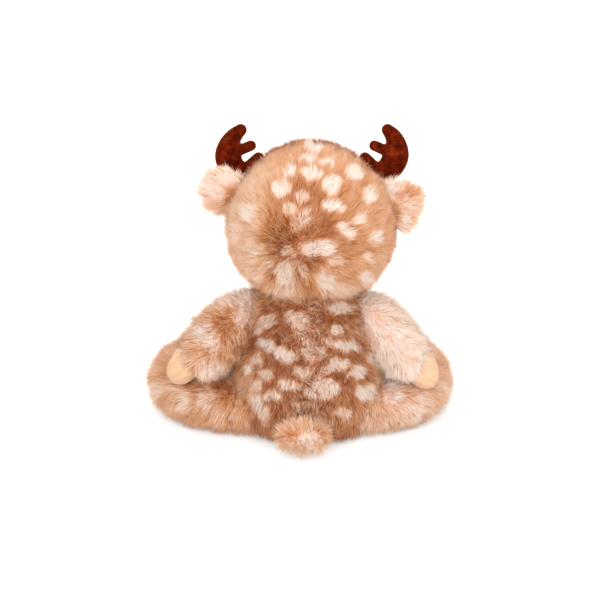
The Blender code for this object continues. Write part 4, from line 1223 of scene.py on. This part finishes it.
def make_antlers():
    for side in SIDES:
        made = surface_object("antler_" + side + "_velour", antler_surface(side), "velour")
        remesh = made.modifiers.new("one skin", "REMESH")
        remesh.mode = "VOXEL"
        remesh.voxel_size = VOXEL_SIZE
        remesh.use_smooth_shade = True
        smooth = made.modifiers.new("softer", "SMOOTH")
        smooth.iterations = SMOOTH_ROUNDS
        smooth.factor = SMOOTH_FACTOR
        attach(made, "head", "velour", "antler_" + side, fill=ANTLER_FILL)


# Face
MUZZLE_TONE = 0.90
MUZZLE_WAVES = ((0.02, 0.010),)
NOSE_HALF = xyz(0.010, 0.007, 0.005)
NOSE_RISE = radians(28)
NOSE_SEAT = 0.97
NOSE_TAPER = 0.35
EYE_RADIUS = 0.0068
EYE_SINK = 0.001
EYE_SIDE = radians(26)
EYE_RISE = radians(5)


def make_muzzle():
    muzzle = ball_surface(MUZZLE_CENTRE, MUZZLE_HALF, 48, 24)

    def tones_at(points, normals):
        return with_waves(MUZZLE_TONE, points, MUZZLE_WAVES, 71)

    dress("muzzle", "head", "muzzle_skin", muzzle, 12, tones_at)


def make_nose():
    rise = xyz(0.0, -cos(NOSE_RISE), sin(NOSE_RISE))
    centre = MUZZLE_CENTRE + rise * MUZZLE_HALF * NOSE_SEAT
    nose = ball_surface(centre, NOSE_HALF)
    points = nose["points"]
    low = np.clip((centre[2] - points[:, 2]) / NOSE_HALF[2], 0, 1)
    points[:, 0] = centre[0] + (points[:, 0] - centre[0]) * (1 - NOSE_TAPER * low)
    piece("nose_bead", "head", with_normals(points, nose["triangles"]), "nose_plastic", "nose")


def make_eyes():
    for side, sign in SIDES.items():
        ahead = cos(EYE_RISE)
        outward = xyz(sign * sin(EYE_SIDE) * ahead, -cos(EYE_SIDE) * ahead, sin(EYE_RISE))
        reach = 1 / np.linalg.norm(outward / HEAD_HALF)
        centre = HEAD_CENTRE + outward * (reach - EYE_SINK)
        eye = ball_surface(centre, np.full(3, EYE_RADIUS))
        piece("eye_" + side + "_bead", "head", eye, "dark_bead", "eye_" + side)


# Hooves: narrow at the top of the hands, round at the feet, with a stitched seam round each
HAND_HOOF_CENTRE = {"left": xyz(0.1110, 0.0262, 0.0640), "right": xyz(-0.1027, 0.0268, 0.0600)}
HAND_HOOF_HALF = xyz(0.0150, 0.0150, 0.0172)
HAND_HOOF_TAPER = 0.46
HAND_HOOF_LEAN = {"left": 0.002, "right": 0.005}
HAND_HOOF_SPREAD = 0.0025
HAND_SEAM_POINTS = 96
FOOT_SEAM_RING = 17
SEAM_RISE = {"left": radians(38), "right": radians(-38)}
STITCH_SPACING = 0.0022
STITCH_LENGTH = 0.0012
STITCH_RADIUS = 0.00022


def unit_ball():
    return ball_surface(np.zeros(3), np.ones(3))


def hand_hoof_points(side, directions):
    """Places on the hoof's surface in directions from its centre."""
    points = directions * HAND_HOOF_HALF
    up = blend_step(directions[:, 2], -0.3, 1.0)
    points[:, :2] *= (1 - HAND_HOOF_TAPER * up)[:, None]
    low = blend_step(-directions[:, 2], -0.1, 0.8)
    points[:, 0] += SIDES[side] * (HAND_HOOF_LEAN[side] * up + HAND_HOOF_SPREAD * low)
    return HAND_HOOF_CENTRE[side] + points


def merged(surfaces):
    starts = np.cumsum([0] + [len(surface["points"]) for surface in surfaces[:-1]])
    triangles = np.vstack([surface["triangles"] + start for surface, start in zip(surfaces, starts)])
    return with_normals(np.vstack([surface["points"] for surface in surfaces]), triangles)


def make_stitches(name, body, line):
    """Short rods of thread along a closed line, which lie half in the cloth."""
    steps = np.linalg.norm(np.roll(line, -1, axis=0) - line, axis=1)
    lengths = np.concatenate([[0], np.cumsum(steps)])
    closed = np.vstack([line, line[:1]])
    rods = []
    for start in np.arange(0, lengths[-1] - STITCH_SPACING / 2, STITCH_SPACING):
        ends = []
        for place in (start, start + STITCH_LENGTH):
            end = [np.interp(place, lengths, closed[:, axis]) for axis in range(3)]
            ends.append((*end, STITCH_RADIUS, STITCH_RADIUS))
        rods.append(tube_surface(ends, 6, Y_AXIS, 1, 3))
    piece(name, body, merged(rods), "thread", slot="suede")


def make_hand_hoof(side):
    name, body, ball = "hand_hoof_" + side, side + "_arm", unit_ball()
    hand = with_normals(hand_hoof_points(side, ball["points"]), ball["triangles"])
    piece(name + "_suede", body, hand, "suede", name, fill=SOFT_FILL)
    diagonal = xyz(-cos(SEAM_RISE[side]), 0.0, sin(SEAM_RISE[side]))
    turns = np.arange(HAND_SEAM_POINTS) * 2 * pi / HAND_SEAM_POINTS
    directions = np.outer(np.cos(turns), diagonal) + np.outer(np.sin(turns), Y_AXIS)
    make_stitches("hand_seam_" + side, body, hand_hoof_points(side, directions))


def make_foot_hoof(side):
    name, body = "foot_hoof_" + side, side + "_leg"
    middle = LEG_HEIGHT / 2 * LEG_ROWS[-1][3]
    path = foot_path(side, FOOT_HOOF_ROWS, FOOT_HOOF_WIDTH, FOOT_HOOF_HEIGHT, middle)
    foot = tube_surface(path, FOOT_SIDES, Z_AXIS)
    piece(name + "_suede", body, foot, "suede", name, fill=SOFT_FILL)
    seam = foot["points"][FOOT_SEAM_RING * FOOT_SIDES : (FOOT_SEAM_RING + 1) * FOOT_SIDES]
    make_stitches("foot_seam_" + side, body, seam)


LINING_HALF = (0.011, 0.009)
LINING_SHARE = 0.52


def make_linings():
    """A flat oval pad of lining on the front of each ear."""
    for side in SIDES:
        name = "ear_lining_" + side
        low, high = (np.array(corner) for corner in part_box(name))
        root, outward = ear_axes(side)
        centre = root + outward * EAR_LENGTH[side] * LINING_SHARE
        centre[1] = (low[1] + high[1]) / 2
        ball = unit_ball()
        directions = ball["points"]
        points = centre + np.outer(directions[:, 0] * LINING_HALF[0], outward)
        points += np.outer(directions[:, 1] * (high[1] - low[1]) / 2, Y_AXIS)
        points += np.outer(directions[:, 2] * LINING_HALF[1], np.cross(outward, Y_AXIS))
        triangles = ball["triangles"] if side == "left" else ball["triangles"][:, ::-1]
        pad = with_normals(points, triangles)
        piece(name + "_pad", side + "_ear", pad, "ear_lining", name, fill=SOFT_FILL)


NODE_MATERIALS = {"stuffing": "fibre", "pellet_bag": "pellet_cloth", "washer": "washer_plastic"}


def dress_nodes():
    """The inner pieces keep their own shape and take a detailed material."""
    for name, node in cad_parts.items():
        for word, material in NODE_MATERIALS.items():
            if word in name:
                node.data.materials.clear()
                node.data.materials.append(materials[material])


bpy.context.scene.view_settings.view_transform = "Standard"
materials = {"spotted_fur": fur_material()}
for material_name, row in MOTTLED.items():
    materials[material_name] = mottled_material(material_name, *row)
make_camera()
make_floor()
make_world()
make_lamps()
make_coats()
make_antlers()
make_muzzle()
make_nose()
make_eyes()
for hoof_side in SIDES:
    make_hand_hoof(hoof_side)
    make_foot_hoof(hoof_side)
make_linings()
dress_nodes()
